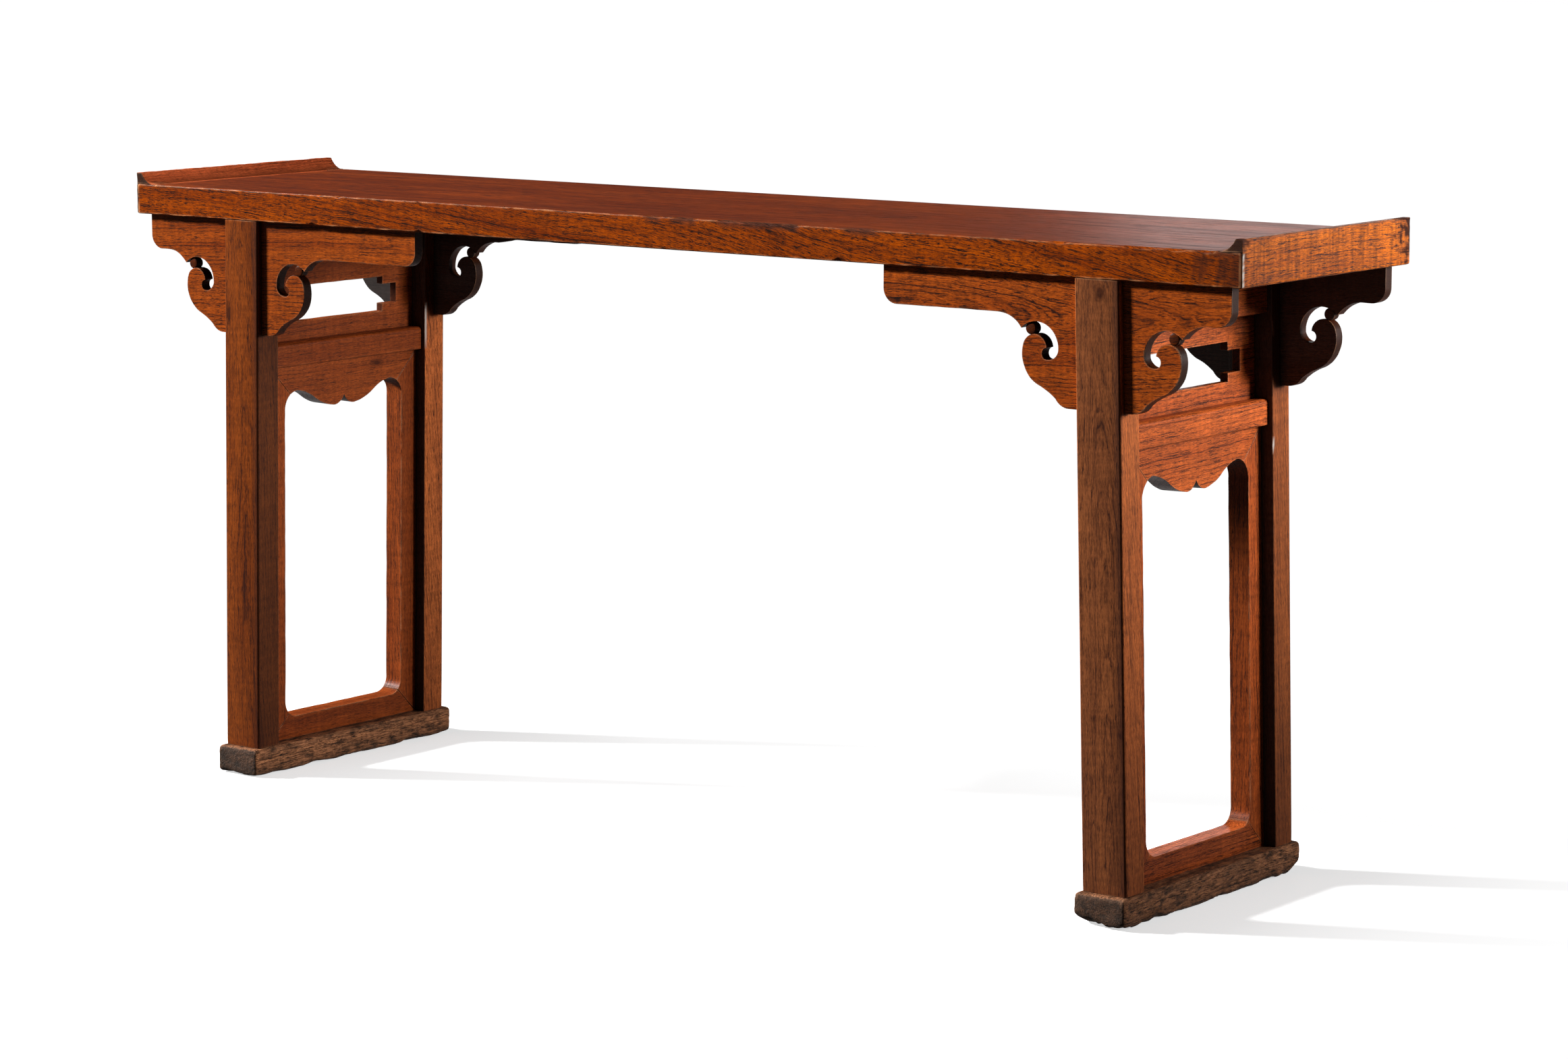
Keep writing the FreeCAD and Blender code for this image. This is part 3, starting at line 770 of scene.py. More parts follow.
class WoodPiece(Piece):
    """A worn copy of one of the frame's solids."""

    def __init__(self, node: str, ease: float, corner: float = 32.0) -> None:
        """Copy the solid's mesh, weld it and ease its outer arrises.

        Args:
            node: the solid's name.
            ease: how far an arris is rounded off, in metres.
            corner: the least angle of an edge that counts as an arris, in degrees.
        """
        super().__init__(node)
        self.work.from_mesh(self.source.data)
        bmesh.ops.remove_doubles(self.work, verts=self.work.verts, dist=WELD)
        bmesh.ops.dissolve_limit(self.work, angle_limit=FLAT, verts=self.work.verts, edges=self.work.edges)
        least = math.radians(corner)
        arrises = [edge for edge in self.work.edges
                   if edge.is_manifold and edge.calc_face_angle_signed() > least]
        bmesh.ops.bevel(self.work, geom=arrises, offset=ease, offset_type="OFFSET", segments=EASE_STEPS,
                        profile=0.5, affect="EDGES", clamp_overlap=False)
        self.keep_inside()
        # the dark mark on the points: chips, stains and rot, and painted shade
        self.hollow = self.work.verts.layers.float.new("hollow")
        self.scuff = self.work.verts.layers.float.new("scuff")

    def keep_inside(self) -> None:
        """Hold every point inside the solid's own box."""
        for point in self.work.verts:
            for axis in range(3):
                point.co[axis] = clamp(point.co[axis], self.low[axis], self.high[axis])

    def round_box(self, radius: float) -> None:
        """Draw the points near the arrises of the solid's box in to a radius.

        Args:
            radius: the radius, in metres.
        """
        for point in self.work.verts:
            core = Vector(clamp(point.co[axis], self.low[axis] + radius, self.high[axis] - radius)
                          for axis in range(3))
            out = point.co - core
            if out.length > radius:
                point.co = core + radius * out.normalized()

    def slice(self, axis: int, step: float) -> None:
        """Cut the mesh into even slices, so that wear has points to move.

        Args:
            axis: the axis that is cut across.
            step: the least width of a slice, in metres.
        """
        width = self.high[axis] - self.low[axis]
        count = int(width / step)
        for index in range(1, count):
            self.cut(axis, width * index / count)

    def cut(self, axis: int, depth: float) -> None:
        """Cut the mesh across one axis.

        Args:
            axis: the axis that is cut across.
            depth: how far from the piece's low side, in metres.
        """
        facing = Vector((0.0, 0.0, 0.0))
        facing[axis] = 1.0
        self.cut_plane(self.low + depth * facing, facing)

    def cut_plane(self, through: Vector, facing: Vector) -> None:
        """Cut the mesh along any plane."""
        geometry = [*self.work.verts, *self.work.edges, *self.work.faces]
        bmesh.ops.bisect_plane(self.work, geom=geometry, dist=WELD, plane_co=through, plane_no=facing)

    def darken(self, share: Callable[[Point], float]) -> None:
        """Darken every point by at least a share, from 0 to 1."""
        for point in self.work.verts:
            point[self.hollow] = max(point[self.hollow], share(point))

    def wear_arris(self, arris: Arris, reach: float, rub: float, chips: tuple[Chip, ...] = ()) -> None:
        """Rub down one straight arris unevenly and break chips out of it.

        Args:
            arris: which arris.
            reach: how near to the corner a point counts as on it, in metres.
            rub: about how much rubbing takes off, in metres.
            chips: what has broken away.
        """
        corner = arris.corner(self.low, self.high)
        for point in self.work.verts:
            gaps = [abs(point.co[axis] - edge) for axis, edge in zip(arris.axes, corner)]
            if max(gaps) > reach:
                continue
            where = point.co[arris.along()]
            seed = Vector(value * scale for value, scale in zip((where, *corner), RUB_SCALE))
            rubbed = rub * max(0.0, RUB_EVEN + uneven(seed))
            on_face = [gap < ON_FACE * reach for gap in reversed(gaps)]
            for index, axis in enumerate(arris.axes):
                if on_face[index] or not on_face[1 - index]:
                    take = sum((chip.bites(where)[index] for chip in chips), rubbed)
                    easing = 1.0 if on_face[index] else ARRIS_EASING
                    point.co[axis] -= arris.signs[index] * take * easing
            point[self.hollow] = max(point[self.hollow], *(chip.shade(where) for chip in chips), 0.0)

    def roughen(self, depth: float, fineness: float) -> None:
        """Take an uneven skin off every arris, so that no edge is quite straight.

        Args:
            depth: about how much is taken off, in metres.
            fineness: how many bites there are to a metre.
        """
        for point in self.work.verts:
            if min(point.normal.dot(face.normal) for face in point.link_faces) <= SAME_FACING:
                bite = depth * max(0.0, BITE_EVEN + uneven(point.co * fineness))
                point.co -= point.normal * bite
        self.keep_inside()

    def scrape(self, nick: Nick) -> None:
        """Scrape a pale nick into the faces that look along X.

        Args:
            nick: the nick.
        """
        for point in self.work.verts:
            off = [(point.co[axis] - nick.at[axis]) / nick.half[axis] for axis in range(3)]
            share = max(0.0, 1.0 - sum(value * value for value in off))
            if share > 0 and abs(point.normal.x) > TURNED:
                point.co -= point.normal * nick.depth * share
                point[self.scuff] = min(1.0, SCUFF_GAIN * share)

    def stain(self, at: Triple, half: Triple, fineness: float, deepest: float) -> None:
        """Blacken the points round a place in patches.

        Args:
            at: the middle of the stain.
            half: its half size along each axis, in metres.
            fineness: how many patches there are to a metre.
            deepest: how dark the darkest patch is, from 0 to 1.
        """
        def share(point: Point) -> float:
            """Work out how dark a point gets.

            Args:
                point: the point.

            Returns:
                Its share of darkness.
            """
            far = Vector((point.co[axis] - at[axis]) / half[axis] for axis in range(3)).length
            patch = 1.0 - far + STAIN_RAGGED * noise.noise(point.co * fineness)
            return clamp(STAIN_GAIN * patch - STAIN_START, 0.0, deepest) if far < 1.0 else 0.0

        self.darken(share)

    def finish(self) -> bpy.types.Object:
        """Close the mesh and hang the piece on its body in place of the solid.

        Returns:
            The new object.
        """
        bmesh.ops.dissolve_degenerate(self.work, dist=WELD, edges=self.work.edges)
        for face in self.work.faces:
            face.smooth = True
        for edge in self.work.edges:
            edge.smooth = not (edge.is_manifold and edge.calc_face_angle() > SHARP)
        piece = self.hang(f"{self.node}_wood")
        weighted = piece.modifiers.new("even_shading", "WEIGHTED_NORMAL")
        weighted.keep_sharp = True
        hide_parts(self.node)
        return piece


@dataclass
class TableTop:
    """The plank with its two flanged end pieces."""

    plank_ease: float = 1.5 * MM
    plank_slice: float = 5 * MM
    face_margin: float = 9 * MM
    edge_margin: float = 11 * MM
    arris_share: float = 1.1
    corner_share: float = 3.0
    rub: float = 0.7 * MM
    face_log: Log = Log(Grain.ALONG_X, (0.05, 0.16), 0.004, 3.1)
    edge_log: Log = Log(Grain.ALONG_X, (0.10, 0.14), 0.004, 5.7, -0.14)
    plank_stain: Triple = (80 * MM, 20 * MM, 70 * MM)
    plank_stain_fineness: float = 110.0
    plank_stain_depth: float = 0.6
    end_ease: float = 1.0 * MM
    end_arris: float = 28.0
    end_slice: float = 6 * MM
    end_course: float = 4 * MM
    end_fineness: float = 60.0
    end_log: Log = Log(Grain.ALONG_Y, (0.04, 0.16), 0.01)
    outer_turn: float = 0.3
    end_turn: float = 0.7
    left_stretch: float = 1.3
    right_stretch: float = 4.4
    stain_insets: tuple[float, ...] = tuple(inset * MM for inset in (4, 9, 15, 21, 27, 33, 39, 45))
    stain_fineness: float = 140.0
    far_stain: Triple = (30 * MM, 44 * MM, 90 * MM)
    far_stain_depth: float = 0.97
    near_stain: Triple = (30 * MM, 26 * MM, 22 * MM)
    near_stain_depth: float = 0.9
    nick_margin: float = 1.6 * MM
    nick_half: Triple = (4 * MM, 3 * MM, 5.5 * MM)
    nick_depth: float = 0.3 * MM
    nick_drops: tuple[float, ...] = (22 * MM, 34 * MM, 45 * MM, 55 * MM)
    upper_chips: tuple[Chip, ...] = (
        Chip(0.030, 0.016, 0.0010, 0.0012, 0.5),
        Chip(0.083, 0.024, 0.0012, 0.0016, 0.7),
        Chip(0.160, 0.022, 0.0010, 0.0014, 0.6),
        Chip(0.215, 0.045, 0.0014, 0.0022, 0.8),
        Chip(0.260, 0.016, 0.0012, 0.0024, 0.8),
        Chip(0.372, 0.030, 0.0012, 0.0020, 0.7),
        Chip(-0.541, 0.007, 0.0015, 0.0015),
        Chip(0.679, 0.012, 0.0020, 0.0015),
        Chip(0.798, 0.030, 0.0020, 0.0015),
        Chip(0.848, 0.018, 0.0020, 0.0015),
        Chip(0.893, 0.015, 0.0020, 0.0015),
    )
    lower_chips: tuple[Chip, ...] = (
        Chip(0.341, 0.010, 0.002, 0.004, 0.5),
        Chip(-0.590, 0.009, 0.002, 0.003, 0.5),
        Chip(-0.388, 0.007, 0.0015, 0.002, 0.4),
    )
    # chips with no depth that paint shade down the plank's rounded front corners at both ends
    dark_corner: tuple[Chip, ...] = (Chip(0.828, 0.060, 0.0, 0.0, 0.9),)

    def build(self) -> list[bpy.types.Object]:
        """Build and dress the plank and both end pieces."""
        return [self.build_plank(), *(self.build_end(side) for side in Side)]

    def build_plank(self) -> bpy.types.Object:
        """Build the plank, with the worn upper face and the figured edges in two finishes.

        Returns:
            The new object.
        """
        plank = WoodPiece("top_plank", self.plank_ease)
        for axis, margin in ((1, self.face_margin), (2, self.edge_margin)):
            plank.cut(axis, margin)
            plank.cut(axis, plank.high[axis] - plank.low[axis] - margin)
        plank.slice(0, self.plank_slice)
        reach = self.arris_share * self.plank_ease
        long_arrises = {(-1, 1): self.upper_chips, (-1, -1): self.lower_chips, (1, 1): (), (1, -1): ()}
        for signs, chips in long_arrises.items():
            plank.wear_arris(Arris((1, 2), signs), reach, self.rub, chips)
        # painted shade down both front corners of the plank
        for end in (-1, 1):
            plank.wear_arris(Arris((0, 1), (end, -1)), self.corner_share * reach, 0.0, self.dark_corner)
        corner = (plank.high.x, plank.low.y, plank.middle.z)
        plank.stain(corner, self.plank_stain, self.plank_stain_fineness, self.plank_stain_depth)
        plank.coat("upper_face", PLANK_FACE, self.face_log)
        plank.coat("edge", PLANK_EDGE, self.edge_log, lambda facing: facing.z < SQUARELY)
        return plank.finish()

    def build_end(self, side: Side) -> bpy.types.Object:
        """Build one end piece with its everted flange.

        Args:
            side: the end of the table that it is on.

        Returns:
            The new object.
        """
        end = WoodPiece(f"{side}_end_piece", self.end_ease, self.end_arris)
        end.slice(1, self.end_slice)
        end.slice(2, self.end_course)
        end.cut(1, self.nick_margin)
        for inset in self.stain_insets:
            end.cut(1, end.high.y - end.low.y - inset)
        end.roughen(self.rub, self.end_fineness)
        # the left end's inner faces take the lighter copy, painted light
        inside, stretch = LIT_LEFT_FLANGE_INSIDE, self.left_stretch
        if side is Side.RIGHT:
            inside, stretch = RIGHT_FLANGE_INSIDE, self.right_stretch
            self.age_corners(end)
        cut = self.end_log.further(stretch)
        end.coat("inner_finish", inside, cut)
        end.coat("finish", FLANGE, cut,
                 lambda facing: facing.x * side.value > self.outer_turn or abs(facing.y) > self.end_turn)
        return end.finish()

    def age_corners(self, end: WoodPiece) -> None:
        """Blacken both upper corners of an end piece's outer face and nick its near arris.

        Args:
            end: the end piece.
        """
        near = (end.high.x, end.low.y, end.high.z)
        end.stain(tuple(end.high), self.far_stain, self.stain_fineness, self.far_stain_depth)
        end.stain(near, self.near_stain, self.stain_fineness, self.near_stain_depth)
        for drop in self.nick_drops:
            place = (end.high.x, end.low.y, end.high.z - drop)
            end.scrape(Nick(place, self.nick_half, self.nick_depth))


@dataclass(frozen=True)
class Timber:
    """What sets the wood, wear, and painted light and shade of one trestle apart from the other's."""

    leg: Rosewood
    frame: Rosewood
    scroll: Rosewood
    scroll_log: Log
    # how much lighter or darker each leg's cheeks are: painted light and shade
    cheek_tones: dict[Row, float]
    leg_knots: tuple[Knot, ...]
    leg_nicks: tuple[Nick, ...]
    apron_knots: tuple[Knot, ...]
    rot: float
    breaks: tuple[Break, ...]
    seed: float
    first_stretch: float


TIMBERS = {
    Side.LEFT: Timber(
        leg=RUDDY_LEG,
        # the left trestle's frame is darkened with painted shade
        frame=SHADED_FRAME,
        scroll=DARK_SCROLL,
        scroll_log=Log(Grain.ALONG_X, (0.07, 0.16), 0.025),
        cheek_tones={Row.FRONT: 0.6, Row.BACK: 3.0},
        leg_knots=(Knot((-0.761, -0.197, 0.672), 0.017),),
        leg_nicks=(
            Nick((-0.7043, 0.155, 0.640), (5 * MM, 4 * MM, 18 * MM), 1.2 * MM),
            Nick((-0.7048, 0.155, 0.618), (5 * MM, 4 * MM, 18 * MM), 1.2 * MM),
        ),
        apron_knots=(Knot((-0.7232, 0.070, 0.579), 0.016),),
        rot=4.5 * MM,
        breaks=(Break(1, 0.80, 2.5 * MM),),
        seed=3.0,
        first_stretch=0.0,
    ),
    Side.RIGHT: Timber(
        leg=LEG,
        frame=FRAME,
        scroll=SCROLL,
        scroll_log=Log(Grain.ALONG_X, (0.03, -0.045), 0.06),
        cheek_tones={Row.FRONT: 2.3, Row.BACK: 1.35},
        leg_knots=(
            Knot((0.739, -0.197, 0.791), 0.024, (1.0, 1.0, 0.8)),
            Knot((0.737, -0.197, 0.259), 0.008),
            Knot((0.775, -0.197, 0.245), 0.010),
            Knot((0.711, -0.197, 0.407), 0.022, (1.2, 1.0, 0.22)),
        ),
        leg_nicks=(Nick((0.7722, 0.155, 0.567), (5 * MM, 4 * MM, 10 * MM), 1.2 * MM),),
        apron_knots=(),
        rot=8.0 * MM,
        breaks=(Break(1, 0.86, 13 * MM), Break(-1, 0.90, 14 * MM, left_only=True)),
        seed=11.0,
        first_stretch=31.0,
    ),
}


@dataclass
class ShoeFoot:
    """A shoe foot with weathered sides, and lower edges that are rotted and broken."""

    node: str
    timber: Timber
    cut: Log
    ease: float = 1 * MM
    radius: float = 7 * MM
    slice: float = 4 * MM
    side_depth: float = 7 * MM
    sole_depth: float = 1 * MM
    skin: float = 1 * MM
    skin_even: float = 0.5
    skin_fibre: float = 0.55
    skin_lump: float = 0.9
    skin_fade: float = 5 * MM
    rot_even: float = 0.25
    rot_power: float = 1.3
    rot_height: float = 18 * MM
    rot_start: float = 0.55
    rot_ramp: float = 0.4
    dark_lift: float = 6 * MM
    dark: float = 0.6
    fibre_scale: Triple = (210.0, 22.0, 210.0)
    lump_scale: Triple = (34.0, 15.0, 40.0)
    lump_noise: tuple[float, float, int] = (0.9, 2.0, 3)
    rot_scale: Triple = (26.0, 19.0, 0.0)
    rot_noise: tuple[float, float, int] = (0.8, 2.2, 4)

    def build(self) -> bpy.types.Object:
        """Build and dress the foot.

        Returns:
            The new object.
        """
        foot = WoodPiece(self.node, self.ease)
        for axis in range(3):
            foot.slice(axis, self.slice)
        foot.round_box(self.radius)
        foot.work.normal_update()
        worn = [(point, *self.wear(foot, point)) for point in foot.work.verts if self.is_bare(foot, point)]
        for point, shift, mark in worn:
            point.co += shift
            point[foot.hollow] = mark
        foot.keep_inside()
        foot.coat("finish", SHOE, self.cut)
        return foot.finish()

    def is_bare(self, foot: WoodPiece, point: Point) -> bool:
        """Tell whether a point lies on the sides or the sole of the foot.

        Args:
            foot: the foot.
            point: the point.

        Returns:
            Whether weather and floor get at it.
        """
        off = point.co - foot.middle
        depth = min(foot.half.x - abs(off.x), foot.half.y - abs(off.y))
        return depth < self.side_depth or point.co.z - foot.low.z <= self.sole_depth

    def wear(self, foot: WoodPiece, point: Point) -> tuple[Vector, float]:
        """Work out what weather and rot do to a point.

        Args:
            foot: the foot.
            point: the point.

        Returns:
            How far the point moves and how dark it gets.
        """
        off = point.co - foot.middle
        height = point.co.z - foot.low.z
        across, along = off.x / foot.half.x, off.y / foot.half.y

        def spot(scale: Triple) -> Vector:
            """Give the point's place in a noise that is this foot's own."""
            return Vector((off.x * scale[0], off.y * scale[1], height * scale[2] + self.timber.seed))

        fibre = noise.noise(spot(self.fibre_scale))
        lump = noise.fractal(spot(self.lump_scale), *self.lump_noise)
        skin = self.skin * max(0.0, self.skin_even + self.skin_fibre * fibre + self.skin_lump * lump)
        fade = clamp((foot.high.z - point.co.z) / self.skin_fade)
        shift = -point.normal * skin * fade
        ragged = max(0.0, self.rot_even + noise.fractal(spot(self.rot_scale), *self.rot_noise))
        broken = sum(gap.missing(across, along) for gap in self.timber.breaks)
        lift = self.timber.rot * ragged ** self.rot_power + broken
        low = max(0.0, 1.0 - height / self.rot_height)
        reached = low * clamp((max(abs(across), abs(along)) - self.rot_start) / self.rot_ramp)
        shift.z = shift.z * fade + lift * reached
        return shift, self.dark * reached * min(1.0, lift / self.dark_lift)


@dataclass
class Pearls:
    """The pearls that sit in the scrolls of one spandrel, on both of its faces."""

    node: str
    row: Row
    sunk: float = 2.5 * MM
    rise: float = 1.2 * MM
    rooted: float = 0.3 * MM
    slack: float = 0.2 * MM
    width: float = 0.96
    rings: int = 5
    steps: int = 28

    def build(self, cut: Log) -> bpy.types.Object:
        """Dome and dress the pearls.

        Args:
            cut: how the spandrel lies in its log.

        Returns:
            The new object.
        """
        pearls = Piece(self.node)
        for sign, level in ((-1, pearls.low.y), (1, pearls.high.y)):
            seat = level - sign * self.sunk
            corners = [point.co for point in pearls.source.data.vertices]
            rim = [corner for corner in corners if abs(corner.y - seat) < self.slack]
            split = sum(point.x for point in rim) / len(rim)
            for outline in ([p for p in rim if p.x < split], [p for p in rim if p.x > split]):
                self.dome(pearls.work, outline, seat, sign)
        bmesh.ops.recalc_face_normals(pearls.work, faces=pearls.work.faces)
        for face in pearls.work.faces:
            face.smooth = True
            off = face.calc_center_median().y - pearls.middle.y
            face.material_index = int(off * self.row.value > 0)
        pearls.coat("pearls_finish", PEARL, cut)
        # the pearls' inward domes take the same painted shade
        pearls.coat("pearls_inner_finish", INNER_SHADE, cut)
        return pearls.hang(f"{self.node}_pearls")

    def dome(self, work: bmesh.types.BMesh, rim: list[Vector], seat: float, sign: int) -> None:
        """Add one low dome over a pearl's flat face.

        Args:
            work: the mesh that takes the dome.
            rim: points of the flat face's outline.
            seat: where the flat face lies across the table.
            sign: the side that the dome rises to.
        """
        left, right = min(point.x for point in rim), max(point.x for point in rim)
        middle_x = (left + right) / 2
        middle_z = (min(point.z for point in rim) + max(point.z for point in rim)) / 2
        radius = self.width * (right - left) / 2
        rings = []
        for level in range(self.rings):
            angle = math.pi / 2 * level / self.rings
            across = radius * math.cos(angle)
            y = seat + sign * (self.rise * math.sin(angle) - (0.0 if level else self.rooted))
            turns = [math.tau * step / self.steps for step in range(self.steps)]
            rings.append([
                work.verts.new((middle_x + across * math.cos(turn), y, middle_z + across * math.sin(turn)))
                for turn in turns])
        crown = work.verts.new((middle_x, seat + sign * self.rise, middle_z))
        for step in range(self.steps):
            after = (step + 1) % self.steps
            for inner, outer in zip(rings[1:], rings):
                work.faces.new((outer[step], outer[after], inner[after], inner[step]))
            work.faces.new((rings[-1][step], rings[-1][after], crown))
        work.faces.new(rings[0])


@dataclass
class Trestle:
    """One trestle: a shoe foot, legs, rails, the openwork panel, the arched frame and two spandrels."""

    side: Side
    timber: Timber
    leg_ease: float = 0.6 * MM
    rail_ease: float = 0.7 * MM
    frame_ease: float = 0.8 * MM
    spandrel_ease: float = 0.9 * MM
    slice_step: float = 12 * MM
    rub: float = 0.45 * MM
    rub_fineness: float = 45.0
    stretch_step: float = 1.7
    foot_log: Log = Log(Grain.ALONG_Y, (0.05, 0.09), 0.01)
    leg_log: Log = Log(Grain.ALONG_Z, (0.045, 0.008), 0.05)
    stile_log: Log = Log(Grain.ALONG_Z, (0.05, 0.05), 0.01)
    rail_log: Log = Log(Grain.ALONG_Y, (0.05, 0.10), 0.012)
    cheek_turn: float = 0.6
    stile_turn: float = 0.7
    under_turn: float = 0.15
    leg_lean: float = 0.025
    nick_margin: float = 5 * MM
    # painted shade on a front leg's right arris: how dark, how near the arris, and the width of the cut
    # that bounds it
    dirt: float = 0.65
    dirt_edge: float = 5 * MM
    dirt_width: float = 13 * MM
    # painted shadow: how dark, and where on a back leg's cheek it starts and fades in
    soot: float = 0.85
    soot_start: float = 0.625
    soot_ramp: float = 0.035
    # darker towards the bottom of the legs: how dark, and how high it reaches
    soil: float = 0.30
    soil_reach: float = 0.38
    short_arm: float = 150 * MM
    long_arm: float = 165 * MM
    arm_upper: float = 25 * MM
    arm_ramp: float = 25 * MM
    arm_planed: float = 5.5 * MM
    rails: tuple[str, ...] = ("top_rail", "middle_rail", "openwork_panel", "arch_apron", "bottom_strip")

    def build(self) -> list[bpy.types.Object]:
        """Build and dress all pieces of the trestle.

        Returns:
            The new objects.
        """
        foot = ShoeFoot(f"{self.side}_foot", self.timber, self.cut_of(self.foot_log, "foot"))
        pieces = [foot.build()]
        for row in Row:
            pieces += [self.build_leg(row), *self.build_spandrel(row), self.build_stile(row)]
        return pieces + [self.build_rail(part) for part in self.rails]

    def cut_of(self, whole: Log, part: str) -> Log:
        """Give a piece a stretch of a log that no other piece takes.

        Args:
            whole: how the piece lies in its log.
            part: the piece's name within the trestle.

        Returns:
            The cut at that stretch.
        """
        pairs = [f"{row}_{name}" for name in ("leg", "spandrel", "stile") for row in Row]
        number = 1 + ["foot", *pairs, *self.rails].index(part)
        return whole.further(self.stretch_step * number + self.timber.first_stretch)

    def start(self, part: str, ease: float, along: int) -> WoodPiece:
        """Copy a solid and wear all its arrises.

        Args:
            part: the piece's name within the trestle.
            ease: how far its arrises are rounded off, in metres.
            along: the axis that the piece runs along.

        Returns:
            The worn copy.
        """
        piece = WoodPiece(f"{self.side}_{part}", ease)
        piece.slice(along, self.slice_step)
        piece.roughen(self.rub, self.rub_fineness)
        return piece

    def build_leg(self, row: Row) -> bpy.types.Object:
        """Build a leg: figured front and back, cheeks in a lighter or darker copy for painted light and
        shade, and painted shade on the face that looks inward.

        Args:
            row: the front or the back leg.

        Returns:
            The new object.
        """
        part = f"{row}_leg"
        piece = self.start(part, self.leg_ease, 2)
        knots, nicks = self.timber.leg_knots, ()
        if row is Row.FRONT:
            self.darken_arris(piece)
        else:
            knots, nicks = (), self.timber.leg_nicks
            piece.cut(1, self.nick_margin)
            self.darken_head(piece)
        # darker towards the bottom
        piece.darken(lambda point: self.soil * max(0.0, 1.0 - point.co.z / self.soil_reach))
        for nick in nicks:
            piece.scrape(nick)
        cut = self.cut_of(self.leg_log, part)
        # a lighter or darker copy of the cheek finish: painted light and shade on the leg's sides
        cheek = CHEEK.toned(self.timber.cheek_tones[row])
        piece.coat("finish", self.timber.leg, cut, knots=knots)
        piece.coat("cheek_finish", cheek, cut, lambda facing: abs(facing.x) > self.cheek_turn)
        # painted shade on the face that looks inward
        piece.coat("inner_finish", INNER_SHADE, cut, row.turned_in)
        return piece.finish()

    def darken_arris(self, piece: WoodPiece) -> None:
        """Paint shade on a front leg's rounded right arris, which turns away from both lamps, fading out
        over its front face.

        Args:
            piece: the leg.
        """
        across = Vector((1.0, 0.0, self.side.value * self.leg_lean)).normalized()
        edge = max(point.co.dot(across) for point in piece.work.verts)
        piece.cut_plane((edge - self.dirt_width) * across, across)
        piece.work.normal_update()
        piece.darken(lambda point: self.dirt * (
            point.normal.y < -TURNED and edge - point.co.dot(across) < self.dirt_edge))

    def darken_head(self, piece: WoodPiece) -> None:
        """Paint shadow on the upper part of a back leg's right cheek, where the top keeps the light off.
        """
        piece.darken(lambda point: self.soot * (point.normal.x > TURNED) * clamp(
            (point.co.z - self.soot_start) / self.soot_ramp))

    def build_spandrel(self, row: Row) -> list[bpy.types.Object]:
        """Build a spandrel with its pearls: figured outside, with painted shade on the inside and on the
        glossy cut edges.

        Args:
            row: the front or the back spandrel.

        Returns:
            The new objects.
        """
        part = f"{row}_spandrel"
        piece = self.start(part, self.spandrel_ease, 0)
        if self.side is Side.LEFT and row is Row.BACK:
            self.slim_arm(piece)
            # painted shade on the inward face of the short arm, which the light doesn't reach
            hidden_end = piece.low.x + self.short_arm
            piece.darken(lambda point: self.soot * (point.co.x < hidden_end and point.normal.y < -TURNED))
        cut = self.cut_of(self.timber.scroll_log, part)
        piece.coat("finish", self.timber.scroll, cut)
        # painted shade on the faces that look inward
        piece.coat("inner_finish", INNER_SHADE, cut, row.turned_in)
        # painted shade on the cut edges
        piece.coat("edge_finish", SHADED_SCROLL_EDGE, cut, lambda facing: abs(facing.y) < TURNED)
        return [piece.finish(), Pearls(f"{self.side}_{part}", row).build(cut)]

    def slim_arm(self, piece: WoodPiece) -> None:
        """Plane the lower edge of a spandrel's long arm, which is slimmer on this one.

        Args:
            piece: the spandrel.
        """
        for point in piece.work.verts:
            if point.co.z < piece.high.z - self.arm_upper:
                ramp = (point.co.x - piece.high.x + self.long_arm) / self.arm_ramp
                point.co.z += self.arm_planed * clamp(ramp)

    def build_stile(self, row: Row) -> bpy.types.Object:
        """Build an upright of the arched frame, with painted shade on its faces in the opening.

        Args:
            row: the front or the back stile.

        Returns:
            The new object.
        """
        part = f"{row}_stile"
        piece = self.start(part, self.frame_ease, 2)
        cut = self.cut_of(self.stile_log, part)
        piece.coat("finish", self.timber.frame, cut)
        # painted shade on the faces in the opening
        piece.coat("edge_finish", SHADED_STILE_EDGE, cut, lambda facing: abs(facing.y) > self.stile_turn)
        return piece.finish()

    def build_rail(self, part: str) -> bpy.types.Object:
        """Build a rail, the panel, the apron or the strip, with painted shade on its undersides, which
        gleam in the arch.

        Args:
            part: the piece's name within the trestle.

        Returns:
            The new object.
        """
        piece = self.start(part, self.rail_ease, 1)
        cut = self.cut_of(self.rail_log, part)
        knots, underside = (), SHADED_RAIL_UNDERSIDE
        if part == "arch_apron":
            knots, underside = self.timber.apron_knots, SHADED_ARCH_UNDERSIDE
        # painted shade on the undersides
        piece.coat("finish", self.timber.frame, cut, knots=knots)
        piece.coat("under_finish", underside, cut,
                   lambda facing: facing.z < -self.under_turn and abs(facing.x) < TURNED)
        return piece.finish()


@dataclass(frozen=True)
class Lamp:
    """A square softbox that is turned to a point, with its beam held to a spread in degrees."""

    name: str
    place: Triple
    aim: Triple
    size: float
    power: float
    spread: float = 180.0

    def hang(self) -> None:
        """Hang the lamp where the camera doesn't see it."""
        light = bpy.data.lights.new(self.name, "AREA")
        light.shape = "SQUARE"
        light.size = self.size
        light.energy = self.power
        light.spread = math.radians(self.spread)
        holder = add_object(self.name, light)
        holder.location = self.place
        beam = Vector(self.aim) - Vector(self.place)
        holder.rotation_euler = beam.to_track_quat("-Z", "Y").to_euler()
        holder.visible_camera = False


